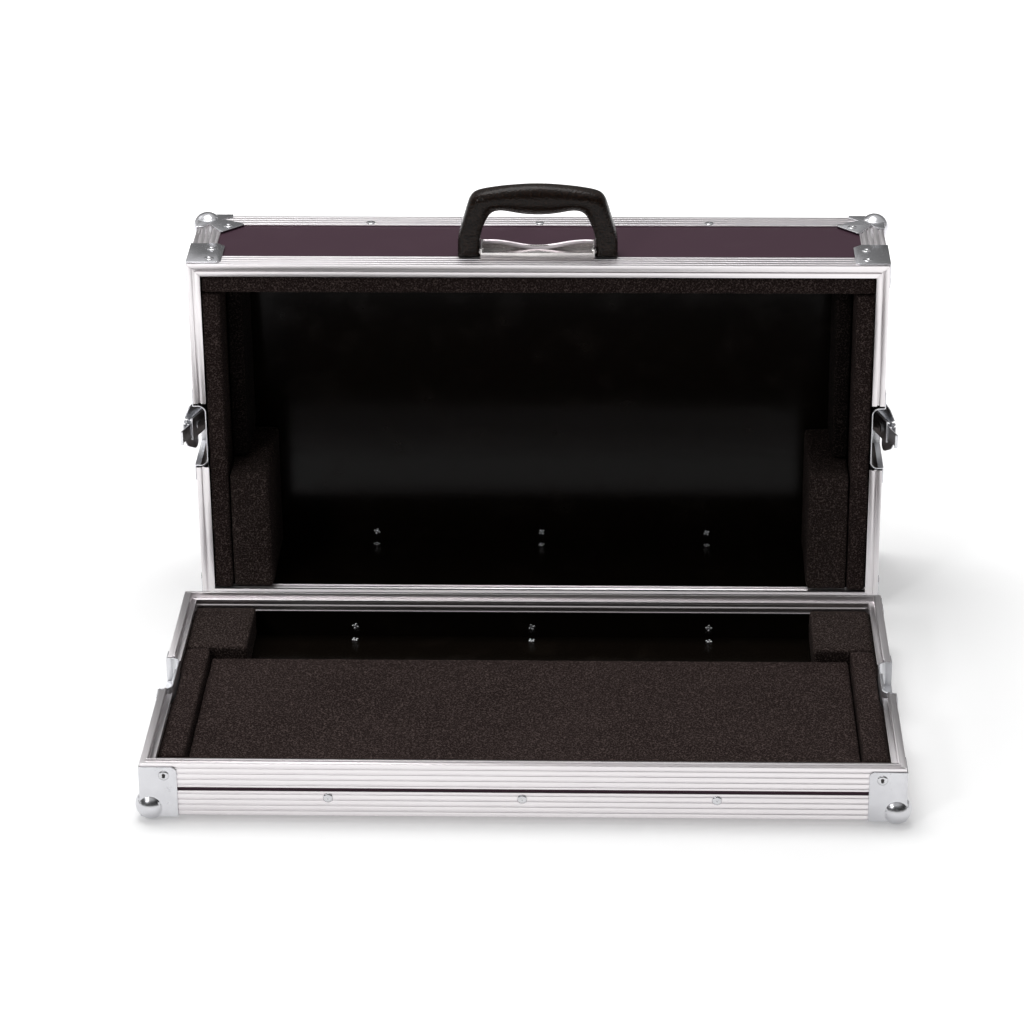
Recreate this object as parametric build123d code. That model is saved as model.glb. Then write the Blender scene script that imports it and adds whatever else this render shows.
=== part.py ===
"""Flight case for a small synthesizer, open: the shallow base tray lies flat, the deep lid stands behind.

Both halves are laminated plywood boxes held by aluminium edge angles and closing profiles, with steel ball
corners, rim braces, recessed butterfly latches, a folding handle and a glued foam lining.
Each half is modelled in its own frame, with its big panel on z = 0, its rim plane on z = height and its
centre on the z axis, and is then placed as it stands on the floor.
"""
import os
from math import acos, atan2, cos, degrees, hypot, radians, sin

from build123d import *

# Outer size of the two halves
WIDTH = 700.0
DEPTH = 375.0
BASE_HEIGHT = 53.0
LID_HEIGHT = 136.0

# How the two halves stand
STAND_GAP = 102.0
LID_SHIFT = 4.7

# Plywood and sheet
PLY = 7.0
LEG_THICKNESS = 1.5
SHEET = 1.2
INNER = LEG_THICKNESS + PLY

# Ribbed edge angle
LEG = 25.4
GROOVE_PITCH = 5.65
GROOVE_WIDTH = 1.4
GROOVE_DEPTH = 0.4
BEND_RADIUS = 1.4

# Closing profile, measured inward from the outer face and down from the rim plane
FLANGE = 24.0
INNER_FLANGE = 17.0
PLY_DROP = 6.0
LIP_REACH = 13.0
LIP_WIDTH = 1.2
LIP_HEIGHT = 1.0
LIP_DROP = 3.3
LIP_DEPTH = 1.6
GROOVE_START = 5.0
TONGUE_GROOVE = 2.9
TONGUE_CLEARANCE = 0.3
TONGUE_HEIGHT = 2.0
RIDGE_HEIGHT = 1.0
RIDGE_DROP = 9.5

# Ball corners and braces
BALL_RADIUS = 14.5
BALL_INSET = 8.0
ANGLE_TRIM = 6.0
LOBE_REACH = 34.0
LOBE_WIDTH = 6.0
LOBE_TIP = 49.0
LOBE_TIP_SIDE = 26.0
LOBE_NOTCH = 25.0
LOBE_NOTCH_SIDE = 12.0
TALL_TOP_DROP = 3.5
TALL_CORNER_RADIUS = 5.0
BRACE_DROP = 4.0
BRACE_LENGTH = 52.0
BRACE_TOP_WIDTH = 34.0
BRACE_SIDE_WIDTH = 27.0
BRACE_CUT = 8.0

# Rivets, eight-sided because there are so many
RIVET_FACET_ANGLE = 45.0
HEAD_RADIUS = 4.5
HEAD_TOP_RADIUS = 3.2
HEAD_HEIGHT = 1.2
SHANK_RADIUS = 2.4
SHANK_CLEARANCE = 0.05
PRONG_RADIUS = 4.0
PRONG_HEIGHT = 2.2
RIVET_INSET = 19.0
BASE_RIVET_PITCH = 178.0
LID_TOP_RIVET_PITCH = 173.0
LID_BOTTOM_RIVET_PITCH = 176.0
SHORT_RIVET_PITCH = 110.0
LOBE_RIVET = 32.0
TALL_RIVET_SIDE = 22.0
TALL_RIVET_DROP = 11.5
BRACE_RIVET_SIDE = 21.5
BRACE_RIVET_NEAR = 13.6
BRACE_RIVET_FAR = 39.9

# Latch and catch dishes
DISH_WIDTH = 65.0
DISH_DEPTH = 11.5
DISH_LENGTH = 61.0
CATCH_LENGTH = 25.0
DISH_CORNER = 7.0
DISH_MARGIN = 17.0
CATCH_MARGIN = 9.0
DISH_RIM_GAP = 0.5
DISH_FIT = 0.5
PROFILE_CUT = 1.8
MARGIN_RADIUS = 6.0
KEEPER_DISTANCE = 3.0
KEEPER_HEIGHT = 2.2
KEEPER_WIDTH = 30.0

# Latch mechanism, in its closed place: heights are measured outward from the dish floor
HUB_DISTANCE = 28.0
PIVOT_DISTANCE = 56.5
PIVOT_HEIGHT = 3.0
PIVOT_PIN_RADIUS = 1.5
KNUCKLE_RADIUS = 2.6
KNUCKLE_WIDTH = 18.0
ARM_FLOOR = 1.2
ARM_END_DISTANCE = 14.0
ARM_WIDTH = 23.0
RAIL_HEIGHT = 1.4
HOOK_WIDTH = 20.0
HOOK_NECK = 14.0
HOOK_REACH = 11.7
HOOK_LIP = 2.0
LAYER_GAP = 0.1
CAM_RADIUS = 4.0
CAM_OFFSET = 3.0
CAM_CLEARANCE = 0.8
DISC_RADIUS = 8.5
DISC_THICKNESS = 1.0
ROTOR_SHANK_RADIUS = 2.5
ROTOR_END_RADIUS = 4.6
ROTOR_END_THICKNESS = 0.8
HUB_RADIUS = 4.6
RUNNING_GAP = 0.06
HINGE_HEIGHT = 10.6
HINGE_PIN_RADIUS = 1.1
HINGE_KNUCKLE_RADIUS = 1.9
HINGE_KNUCKLE_WIDTH = 4.0
HINGE_GAP = 0.3
WING_LENGTH = 25.0
WING_WIDTH = 36.0
WING_RADIUS = 11.0
WING_ROOT = 3.2
WING_FOLD = 14.0
ARM_SWING = 19.0
ROTOR_TWIST = 29.0

# Carrying handle: heights are measured outward from the lid wall, depths from the rim plane
HANDLE_HALF = 80.0
FOOT_WIDTH = 22.5
FOOT_STRAIGHT = 21.0
SHOULDER_HALF = 66.5
SHOULDER_HEIGHT = 67.5
SHOULDER_RADIUS = 8.0
HANDLE_TOP = 79.4
INNER_BEND_HALF = 50.0
INNER_BEND_HEIGHT = 45.0
GRIP_END_HALF = 38.0
GRIP_END_UNDER = 50.6
GRIP_UNDER = 47.0
INNER_BEND_RADIUS = 7.0
KNEE_RADIUS = 12.0
HANDLE_DEPTH_NEAR = 18.0
HANDLE_THICKNESS = 25.0
HANDLE_ROUNDING = 4.0
FOOT_CLEARANCE = 0.4
HANDLE_PIVOT_HEIGHT = 6.0
HANDLE_PIN_RADIUS = 3.0
HANDLE_PIN_GAP = 0.06
HANDLE_PIN_ENGAGE = 14.0
BRACKET_GAP = 0.5
BRACKET_NEAR = 16.0
BRACKET_DEPTH = 28.0
BRACKET_SHEET = 1.5
BRACKET_FRONT_LIP = 7.0
BRACKET_EAR = 11.0
BRACKET_REAR_MIDDLE = 5.0

# Foam lining
FOAM_CLEARANCE = 0.3
FOAM_FRONT = 2.0
LID_STRIP = 24.0
LID_BLOCK_REACH = 74.0
LID_BLOCK_HEIGHT = 143.0
LID_BLOCK_FRONT = 4.0
LID_PAD_REACH = 50.0
LID_PAD_FRONT = 45.0
BASE_STRIP = 28.5
BASE_STRIP_TOP = 43.0
BASE_BLOCK_REACH = 72.5
BASE_PAD_TOP = 31.5
BAY_DEPTH = 107.0

BALL_STAND = BALL_RADIUS - BALL_INSET
SIDES = ("front", "right", "rear", "left")
CORNERS = ((-1, -1), (1, -1), (1, 1), (-1, 1))


def span_box(x_range, y_range, z_range):
    """Box between two values along each axis."""
    size = [high - low for low, high in (x_range, y_range, z_range)]
    middle = [(low + high) / 2 for low, high in (x_range, y_range, z_range)]
    return Pos(*middle) * Box(*size)


def side_run(side):
    """Outer length of one side of a half."""
    return WIDTH if side in ("front", "rear") else DEPTH


def side_place(side):
    """Frame of one side: x along it, y inward from its outer face, z up from the big panel."""
    reach = DEPTH / 2 if side in ("front", "rear") else WIDTH / 2
    return Rot(0, 0, 90 * SIDES.index(side)) * Pos(0, -reach, 0)


def mitred_bar(section, side, height, end_trim=0.0):
    """Bar of one section along one side, cut at 45 degrees at both corners."""
    run = side_run(side)
    reach = 2 * LEG
    outline = Polyline(
        (-run / 2 - reach, -reach),
        (run / 2 + reach, -reach),
        (run / 2 - reach, reach),
        (-run / 2 + reach, reach),
        close=True,
    )
    wedge = Pos(0, 0, -reach) * extrude(make_face(outline), height + 2 * reach)
    bar = extrude(section, run / 2 - end_trim, both=True) & wedge
    return side_place(side) * bar


def groove_places(start, end):
    """Centres of evenly spaced grooves between two places."""
    count = round((end - start) / GROOVE_PITCH)
    pitch = (end - start) / count
    return [start + pitch * (number + 0.5) for number in range(count)]


def angle_section():
    """Ribbed L of the edge angle, its outer corner at the origin."""
    outline = Polyline(
        (0, 0),
        (LEG, 0),
        (LEG, LEG_THICKNESS),
        (LEG_THICKNESS, LEG_THICKNESS),
        (LEG_THICKNESS, LEG),
        (0, LEG),
        close=True,
    )
    section = make_face(outline)
    corner = section.vertices().sort_by(lambda vertex: vertex.X + vertex.Y)[0]
    section = fillet(corner, BEND_RADIUS)
    for place in groove_places(2 * BEND_RADIUS, LEG):
        section -= Pos(place, 0) * Rectangle(GROOVE_WIDTH, 2 * GROOVE_DEPTH)
        section -= Pos(0, place) * Rectangle(2 * GROOVE_DEPTH, GROOVE_WIDTH)
    return section


def flange_grooves(height):
    """Grooves of the closing profile's outer flange, in the section's plane."""
    places = groove_places(height - FLANGE, height - BEND_RADIUS)
    return [Pos(0, place) * Rectangle(2 * GROOVE_DEPTH, GROOVE_WIDTH) for place in places]


def inner_flange_points(height, top_drop):
    """Inner side of the closing profile from its lip down to the plywood: bead, ridge and bottom lip."""
    face = INNER + LEG_THICKNESS
    ridge = face + RIDGE_HEIGHT
    return [
        (LIP_REACH, height - top_drop),
        (LIP_REACH, height - top_drop - LIP_DEPTH),
        (face, height - PLY_DROP - LIP_DEPTH),
        (face, height - RIDGE_DROP),
        (ridge, height - RIDGE_DROP - RIDGE_HEIGHT),
        (face, height - RIDGE_DROP - 2 * RIDGE_HEIGHT),
        (face, height - INNER_FLANGE + LIP_WIDTH),
        (ridge, height - INNER_FLANGE + LIP_WIDTH),
        (ridge, height - INNER_FLANGE),
        (INNER, height - INNER_FLANGE),
        (INNER, height - PLY_DROP),
        (LEG_THICKNESS, height - PLY_DROP),
        (LEG_THICKNESS, height - FLANGE),
        (0, height - FLANGE),
        (0, height),
    ]


def tongue_section(height):
    """Closing profile of the base: outer land, upright tongue, sunk channel and inner lip."""
    tongue_start = GROOVE_START + TONGUE_CLEARANCE
    tongue_end = GROOVE_START + TONGUE_GROOVE - TONGUE_CLEARANCE
    channel = height - LIP_DROP - LIP_HEIGHT
    points = [
        (tongue_start, height),
        (tongue_start, height + TONGUE_HEIGHT),
        (tongue_end, height + TONGUE_HEIGHT),
        (tongue_end, channel),
        (LIP_REACH - LIP_WIDTH, channel),
        (LIP_REACH - LIP_WIDTH, height - LIP_DROP),
    ]
    section = make_face(Polyline(*points, *inner_flange_points(height, LIP_DROP), close=True))
    for groove in flange_grooves(height):
        section -= groove
    return Plane.YZ * section


def groove_section(height):
    """Closing profile of the lid: outer land, groove for the tongue and broad inner land."""
    groove_end = GROOVE_START + TONGUE_GROOVE
    groove_floor = height - TONGUE_HEIGHT - 2 * TONGUE_CLEARANCE
    points = [
        (GROOVE_START, height),
        (GROOVE_START, groove_floor),
        (groove_end, groove_floor),
        (groove_end, height - TONGUE_CLEARANCE),
    ]
    section = make_face(Polyline(*points, *inner_flange_points(height, TONGUE_CLEARANCE), close=True))
    for groove in flange_grooves(height):
        section -= groove
    return Plane.YZ * section


def rim_lengths(side, section, height, opening):
    """Closing profile along one side, parted where a dish cuts through it."""
    bar = mitred_bar(section, side, height)
    if side in ("front", "rear"):
        return bar
    half_cut = opening / 2 + SHEET + PROFILE_CUT
    reach = WIDTH / 2 + LIP_REACH
    slot = span_box((-reach, reach), (-half_cut, half_cut), (0, height + LEG))
    return bar - slot


def box_walls(height, dish_length):
    """Butt-jointed plywood: big panel, two full-length walls and two walls between them."""
    half_x = WIDTH / 2 - LEG_THICKNESS
    half_y = DEPTH / 2 - LEG_THICKNESS
    top = height - PLY_DROP
    panel = span_box((-half_x, half_x), (-half_y, half_y), (LEG_THICKNESS, INNER))
    front = span_box((-half_x, half_x), (-half_y, -half_y + PLY), (INNER, top))
    rear = span_box((-half_x, half_x), (half_y - PLY, half_y), (INNER, top))
    right = span_box((half_x - PLY, half_x), (-half_y + PLY, half_y - PLY), (INNER, top))
    half_cut = DISH_WIDTH / 2 + SHEET + DISH_FIT
    right -= span_box((0, WIDTH), (-half_cut, half_cut), (height - dish_length - SHEET - DISH_FIT, height))
    return panel, front, rear, right, mirror(right, Plane.YZ)


def at_corners(shape, corners=CORNERS):
    """Copies of a piece made for the corner at low x and low y, one for each corner of a half."""
    copies = []
    for x_sign, y_sign in corners:
        copy = Pos(-WIDTH / 2, -DEPTH / 2, 0) * shape
        if x_sign > 0:
            copy = mirror(copy, Plane.YZ)
        if y_sign > 0:
            copy = mirror(copy, Plane.XZ)
        copies.append(copy)
    return copies


def lobed_plate():
    """Face of a ball corner plate, its corner at the origin: a lobe along each edge, a broad one across."""
    outline = Polyline(
        (-SHEET, -SHEET),
        (LOBE_REACH, -SHEET),
        (LOBE_REACH, LOBE_WIDTH),
        (LOBE_NOTCH, LOBE_NOTCH_SIDE),
        (LOBE_TIP, LOBE_TIP_SIDE),
        (LOBE_TIP_SIDE, LOBE_TIP),
        (LOBE_NOTCH_SIDE, LOBE_NOTCH),
        (LOBE_WIDTH, LOBE_REACH),
        (-SHEET, LOBE_REACH),
        close=True,
    )
    face = make_face(outline)
    tips = face.vertices().filter_by(lambda vertex: max(vertex.X, vertex.Y) == LOBE_TIP)
    return fillet(tips, TALL_CORNER_RADIUS / 2)


def tall_plate(height):
    """Face of a base corner's upright plate: straight sides and one rounded upper corner."""
    top = height - TALL_TOP_DROP
    outline = Polyline((-SHEET, -SHEET), (LOBE_REACH, -SHEET), (LOBE_REACH, top), (-SHEET, top), close=True)
    face = make_face(outline)
    upper = face.vertices().sort_by(lambda vertex: vertex.X + vertex.Y)[-1]
    return fillet(upper, TALL_CORNER_RADIUS)


def ball_corner(side_face):
    """Steel corner: ball, lobed plate under the big panel and a plate on each wall."""
    plates = extrude(lobed_plate(), -SHEET)
    on_front = Plane((0, 0, 0), x_dir=(1, 0, 0), z_dir=(0, -1, 0)) * extrude(side_face, SHEET)
    plates = plates + on_front + mirror(on_front, Plane((0, 0, 0), z_dir=(1, -1, 0)))
    ball = Pos(BALL_INSET, BALL_INSET, BALL_INSET) * Sphere(BALL_RADIUS)
    reach = 4 * BALL_RADIUS
    case_corner = span_box((0, reach), (0, reach), (0, reach))
    return plates + ball - case_corner


def rim_brace():
    """Steel angle over one rim corner of the lid, its outer plates clear of the rim plane."""
    low = LID_HEIGHT - BRACE_DROP - BRACE_LENGTH
    high = LID_HEIGHT - BRACE_DROP

    def plate(width):
        outline = Polyline(
            (-SHEET, low),
            (width - BRACE_CUT, low),
            (width, low + BRACE_CUT),
            (width, high),
            (-SHEET, high),
            close=True,
        )
        face = make_face(outline)
        upper = face.vertices().sort_by(lambda vertex: vertex.X + vertex.Y)[-1]
        return fillet(upper, TALL_CORNER_RADIUS)

    upright = Plane((0, 0, 0), x_dir=(1, 0, 0), z_dir=(0, -1, 0))
    on_wall = upright * extrude(plate(BRACE_TOP_WIDTH), SHEET)
    on_side = upright * extrude(plate(BRACE_SIDE_WIDTH), SHEET)
    return on_wall + mirror(on_side, Plane((0, 0, 0), z_dir=(1, -1, 0)))


def corner_angle():
    """Ribbed angle up one corner of the lid, between the edge angle and the closing profile."""
    return Pos(0, 0, LEG) * extrude(angle_section(), LID_HEIGHT - FLANGE - LEG)


def rivet_cone(low_radius, low, high_radius, high):
    """Tapered length of a rivet between two heights."""
    sides = round(360 / RIVET_FACET_ANGLE)
    low_outline = Pos(0, 0, low) * RegularPolygon(low_radius, sides)
    high_outline = Pos(0, 0, high) * RegularPolygon(high_radius, sides)
    return loft([low_outline, high_outline], ruled=True)


def head():
    """Rivet head seated on a plane, its axis along z."""
    return rivet_cone(HEAD_RADIUS, 0, HEAD_TOP_RADIUS, HEAD_HEIGHT)


def split_rivet():
    """Rivet through an angle leg and the plywood, with its end spread inside."""
    shank = rivet_cone(SHANK_RADIUS, -INNER, SHANK_RADIUS, 0)
    spread_end = rivet_cone(PRONG_RADIUS, -INNER - PRONG_HEIGHT, PRONG_RADIUS / 2, -INNER)
    return head() + shank + spread_end


def rivet_hole():
    """Hole that clears one split rivet's shank."""
    radius = SHANK_RADIUS + SHANK_CLEARANCE
    return rivet_cone(radius, -2 * INNER, radius, INNER)


def along_side(side, places, drop, panel=False):
    """Rivet places along one side: on its wall, or on the big panel beside it, axis outward."""
    frame = side_place(side)
    if panel:
        return [frame * Pos(place, drop, 0) * Rot(180, 0, 0) for place in places]
    return [frame * Pos(place, 0, drop) * Rot(90, 0, 0) for place in places]


def both_legs(side, places):
    """Rivet places through both legs of the edge angle on one side."""
    return along_side(side, places, RIVET_INSET) + along_side(side, places, RIVET_INSET, True)


def split_places(bare_side, pitch):
    """Rivets of the edge angle on the bare side, whose spread ends show inside."""
    return both_legs(bare_side, (-pitch, 0.0, pitch))


def hidden_leg_places(bare_side, pitch):
    """Rivets of the other edge angles, whose ends are buried behind the foam."""
    opposite = "front" if bare_side == "rear" else "rear"
    places = both_legs(opposite, (-pitch, 0.0, pitch))
    for side in ("right", "left"):
        places += both_legs(side, (-SHORT_RIVET_PITCH, SHORT_RIVET_PITCH))
    return places


def corner_places(on_x, on_y, on_z, plate=SHEET):
    """Rivet places on the plates of all four corners, each list in the low corner's frame."""
    places = []
    for x_sign, y_sign in CORNERS:
        for along, up in on_x:
            side = Rot(0, 90 * x_sign, 0)
            places.append(Pos(x_sign * (WIDTH / 2 + plate), y_sign * (DEPTH / 2 - along), up) * side)
        for along, up in on_y:
            side = Rot(-90 * y_sign, 0, 0)
            places.append(Pos(x_sign * (WIDTH / 2 - along), y_sign * (DEPTH / 2 + plate), up) * side)
        for x_in, y_in in on_z:
            place = Pos(x_sign * (WIDTH / 2 - x_in), y_sign * (DEPTH / 2 - y_in), -plate)
            places.append(place * Rot(180, 0, 0))
    return places


def dish_shape(length, margin):
    """Pressed dish of the right wall, in its own frame: recess open at the rim, end wall, margin."""
    half = DISH_WIDTH / 2
    mouth_line = [(-half, 0), (half, 0), (half, -DISH_DEPTH), (-half, -DISH_DEPTH)]
    cavity = make_face(Polyline(*mouth_line, close=True))
    inner_corners = cavity.vertices().filter_by(lambda vertex: vertex.Y < 0)
    cavity = fillet(inner_corners, DISH_CORNER)
    metal = offset(cavity, SHEET, kind=Kind.INTERSECTION)
    across = Plane((0, 0, 0), x_dir=(1, 0, 0), z_dir=(0, -1, 0))
    recess = across * extrude(metal, length + SHEET)
    plate = make_face(
        Polyline(
            (-half - DISH_MARGIN, -DISH_RIM_GAP),
            (half + DISH_MARGIN, -DISH_RIM_GAP),
            (half + DISH_MARGIN, -length - margin),
            (-half - DISH_MARGIN, -length - margin),
            close=True,
        )
    )
    lower = plate.vertices().filter_by(lambda vertex: vertex.Y < -length)
    margin_plate = extrude(fillet(lower, MARGIN_RADIUS), SHEET)
    above = span_box((-2 * half, 2 * half), (-2 * length, length), (0, 4 * SHEET))
    hollow = across * extrude(cavity, length)
    mouth = span_box((-half, half), (-length, length), (-SHEET, 2 * SHEET))
    return (recess - above) + margin_plate - hollow - mouth


def dish_frame(height):
    """Frame of the right wall's dish: x up the wall, y towards the rim, z outward from the wall's face."""
    return Plane((WIDTH / 2, 0, height), x_dir=(0, 1, 0), z_dir=(1, 0, 0)).location


def latch_dish():
    """Dish of the lid's latch, with bores for the arm's pin in both of its ends."""
    bore = Pos(0, -PIVOT_DISTANCE, PIVOT_HEIGHT - DISH_DEPTH) * Rot(0, 90, 0)
    return dish_shape(DISH_LENGTH, DISH_MARGIN) - bore * Cylinder(PIVOT_PIN_RADIUS, DISH_WIDTH + 4 * SHEET)


def catch_dish():
    """Dish of the base's catch, with the keeper that the hook pulls on."""
    keeper = span_box(
        (-KEEPER_WIDTH / 2, KEEPER_WIDTH / 2),
        (-KEEPER_DISTANCE - SHEET, -KEEPER_DISTANCE),
        (-DISH_DEPTH - SHEET / 2, -DISH_DEPTH + KEEPER_HEIGHT),
    )
    return dish_shape(CATCH_LENGTH, CATCH_MARGIN) + keeper


def latch_pin():
    """Pin that the latch arm swings on, held in the dish's two ends."""
    place = Pos(0, -PIVOT_DISTANCE, PIVOT_HEIGHT - DISH_DEPTH) * Rot(0, 90, 0)
    return place * Cylinder(PIVOT_PIN_RADIUS, DISH_WIDTH + 2 * SHEET)


ARM_LEVEL = ARM_FLOOR - DISH_DEPTH
HOOK_LEVEL = ARM_LEVEL + SHEET + LAYER_GAP
DISC_LEVEL = HOOK_LEVEL + SHEET + LAYER_GAP
HINGE_LEVEL = HINGE_HEIGHT - DISH_DEPTH


def latch_arm():
    """Swinging arm: knuckle round the pin, flat plate and two rails that guide the hook."""
    half = ARM_WIDTH / 2
    plate = span_box((-half, half), (-PIVOT_DISTANCE, -ARM_END_DISTANCE), (ARM_LEVEL, ARM_LEVEL + SHEET))
    pivot = Pos(0, -PIVOT_DISTANCE, PIVOT_HEIGHT - DISH_DEPTH) * Rot(0, 90, 0)
    rail_start = -PIVOT_DISTANCE + 3 * KNUCKLE_RADIUS
    rail_range = (ARM_LEVEL, ARM_LEVEL + SHEET + RAIL_HEIGHT)
    rails = [
        span_box(sorted((side * half, side * (half - SHEET))), (rail_start, -ARM_END_DISTANCE), rail_range)
        for side in (-1, 1)
    ]
    hole = Pos(0, -HUB_DISTANCE, ARM_LEVEL) * Cylinder(ROTOR_SHANK_RADIUS + RUNNING_GAP, 4 * SHEET)
    body = plate + pivot * Cylinder(KNUCKLE_RADIUS, KNUCKLE_WIDTH) + rails[0] + rails[1]
    return body - pivot * Cylinder(PIVOT_PIN_RADIUS + RUNNING_GAP, KNUCKLE_WIDTH + 2 * ARM_WIDTH) - hole


def latch_hook():
    """Draw hook, fully out: cam window round the hub, neck across the rim and a turned-in lip."""
    window_middle = -HUB_DISTANCE + CAM_OFFSET
    half_window = CAM_RADIUS + CAM_CLEARANCE
    frame_reach = half_window + 2 * SHEET + CAM_OFFSET
    level = (HOOK_LEVEL, HOOK_LEVEL + SHEET)
    frame = span_box(
        (-HOOK_WIDTH / 2, HOOK_WIDTH / 2), (window_middle - frame_reach, window_middle + frame_reach), level
    )
    neck = span_box((-HOOK_NECK / 2, HOOK_NECK / 2), (window_middle, HOOK_REACH), level)
    lip = span_box(
        (-HOOK_NECK / 2, HOOK_NECK / 2),
        (HOOK_REACH - SHEET, HOOK_REACH),
        (HOOK_LEVEL - HOOK_LIP, HOOK_LEVEL + SHEET),
    )
    side_reach = CAM_OFFSET + CAM_RADIUS + CAM_CLEARANCE / 2
    window = span_box(
        (-side_reach, side_reach),
        (window_middle - half_window, window_middle + half_window),
        (HOOK_LEVEL - SHEET, HOOK_LEVEL + 2 * SHEET),
    )
    return frame + neck + lip - window


def latch_rotor():
    """Turning hub: riveted end under the arm, cam in the hook's window, disc, hub and hinge pin."""
    def stack(radius, low, high):
        return Pos(0, 0, (low + high) / 2) * Cylinder(radius, high - low)

    end_top = ARM_LEVEL - LAYER_GAP
    body = stack(ROTOR_END_RADIUS, end_top - ROTOR_END_THICKNESS, end_top)
    body += stack(ROTOR_SHANK_RADIUS, end_top, HOOK_LEVEL)
    body += Pos(0, CAM_OFFSET, 0) * stack(CAM_RADIUS, HOOK_LEVEL, DISC_LEVEL)
    body += stack(DISC_RADIUS, DISC_LEVEL, DISC_LEVEL + DISC_THICKNESS)
    hub = stack(HUB_RADIUS, DISC_LEVEL, HINGE_LEVEL + HINGE_KNUCKLE_RADIUS)
    flats = HINGE_KNUCKLE_RADIUS + HINGE_GAP
    hub &= span_box((-flats, flats), (-HUB_RADIUS, HUB_RADIUS), (DISC_LEVEL, DISC_LEVEL + 2 * DISH_DEPTH))
    pin = Pos(0, 0, HINGE_LEVEL) * Rot(90, 0, 0) * Cylinder(HINGE_PIN_RADIUS, 2 * hinge_reach())
    return Pos(0, -HUB_DISTANCE, 0) * (body + hub + pin)


def hinge_reach():
    """Half the length of the wings' hinge pin."""
    return HUB_RADIUS + 2 * (HINGE_GAP + HINGE_KNUCKLE_WIDTH) + HINGE_GAP


def wing():
    """Folding wing of the rotor, laid flat towards +x, its knuckles in turn with its turned twin's."""
    plate = make_face(
        Polyline(
            (WING_ROOT, -WING_WIDTH / 2),
            (WING_LENGTH, -WING_WIDTH / 2),
            (WING_LENGTH, WING_WIDTH / 2),
            (WING_ROOT, WING_WIDTH / 2),
            close=True,
        )
    )
    tips = plate.vertices().filter_by(lambda vertex: vertex.X > WING_LENGTH / 2)
    body = Pos(0, 0, -SHEET / 2) * extrude(fillet(tips, WING_RADIUS), SHEET)
    step = HINGE_KNUCKLE_WIDTH + HINGE_GAP
    near = HUB_RADIUS + HINGE_GAP + HINGE_KNUCKLE_WIDTH / 2
    barrel_turn = Rot(90, 0, 0)
    for middle in (near, -near - step):
        body += Pos(0, middle, 0) * barrel_turn * Cylinder(HINGE_KNUCKLE_RADIUS, HINGE_KNUCKLE_WIDTH)
        half = HINGE_KNUCKLE_WIDTH / 2
        body += span_box((0, WING_ROOT + SHEET), (middle - half, middle + half), (-SHEET / 2, SHEET / 2))
    return body - barrel_turn * Cylinder(HINGE_PIN_RADIUS + RUNNING_GAP, 2 * WING_WIDTH)


def arm_swung(angle=ARM_SWING):
    """Placement of the latch arm swung out by an angle, in the dish frame."""
    pivot = Pos(0, -PIVOT_DISTANCE, PIVOT_HEIGHT - DISH_DEPTH)
    return pivot * Rot(angle, 0, 0) * pivot.inverse()


def rotor_turned(angle=ROTOR_TWIST):
    """Placement of the rotor on the swung arm, turned from its fully open place."""
    hub = Pos(0, -HUB_DISTANCE, 0)
    return arm_swung() * hub * Rot(0, 0, -angle) * hub.inverse()


def hook_drawn(angle=ROTOR_TWIST):
    """Placement of the hook on the swung arm, drawn in as far as the rotor's turn pulls it."""
    return arm_swung() * Pos(0, -2 * CAM_OFFSET * angle / 180, 0)


def wing_folded(number):
    """Placement of one wing on the turned rotor, folded down towards the dish."""
    hinge = Pos(0, -HUB_DISTANCE, HINGE_LEVEL)
    return rotor_turned() * hinge * Rot(0, 0, 180 * number) * Rot(0, WING_FOLD, 0)


def handle_outline():
    """Front face of the handle: straight feet, leaning legs, arched top and swollen grip."""
    inner_half = HANDLE_HALF - FOOT_WIDTH
    right = [
        (SHOULDER_HALF, SHOULDER_HEIGHT),
        (HANDLE_HALF, FOOT_STRAIGHT),
        (HANDLE_HALF, FOOT_CLEARANCE),
        (inner_half, FOOT_CLEARANCE),
        (inner_half, FOOT_STRAIGHT),
        (INNER_BEND_HALF, INNER_BEND_HEIGHT),
        (GRIP_END_HALF, GRIP_END_UNDER),
    ]
    left = [(-x, y) for x, y in right]
    top = ThreePointArc(left[0], (0, HANDLE_TOP), right[0])
    under = ThreePointArc(right[-1], (0, GRIP_UNDER), left[-1])
    face = make_face([top, *Polyline(*right).edges(), under, *Polyline(*left).edges()])
    rounded = (
        (SHOULDER_HALF, SHOULDER_HEIGHT, SHOULDER_RADIUS),
        (HANDLE_HALF, FOOT_STRAIGHT, KNEE_RADIUS),
        (inner_half, FOOT_STRAIGHT, KNEE_RADIUS),
        (INNER_BEND_HALF, INNER_BEND_HEIGHT, INNER_BEND_RADIUS),
        (GRIP_END_HALF, GRIP_END_UNDER, KNEE_RADIUS),
    )
    for x, y, radius in rounded:
        corners = face.vertices().filter_by(
            lambda vertex: hypot(abs(vertex.X) - x, vertex.Y - y) < FOOT_CLEARANCE
        )
        face = fillet(corners, radius)
    return face


def handle_frame():
    """Frame of the handle on the lid's rear wall: x along it, y outward, z towards the rim."""
    return Pos(0, DEPTH / 2, LID_HEIGHT)


def handle_pivot():
    """Axis of the handle's two pins, in the handle frame."""
    return Pos(0, HANDLE_PIVOT_HEIGHT, -HANDLE_DEPTH_NEAR - HANDLE_PIVOT_HEIGHT)


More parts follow.
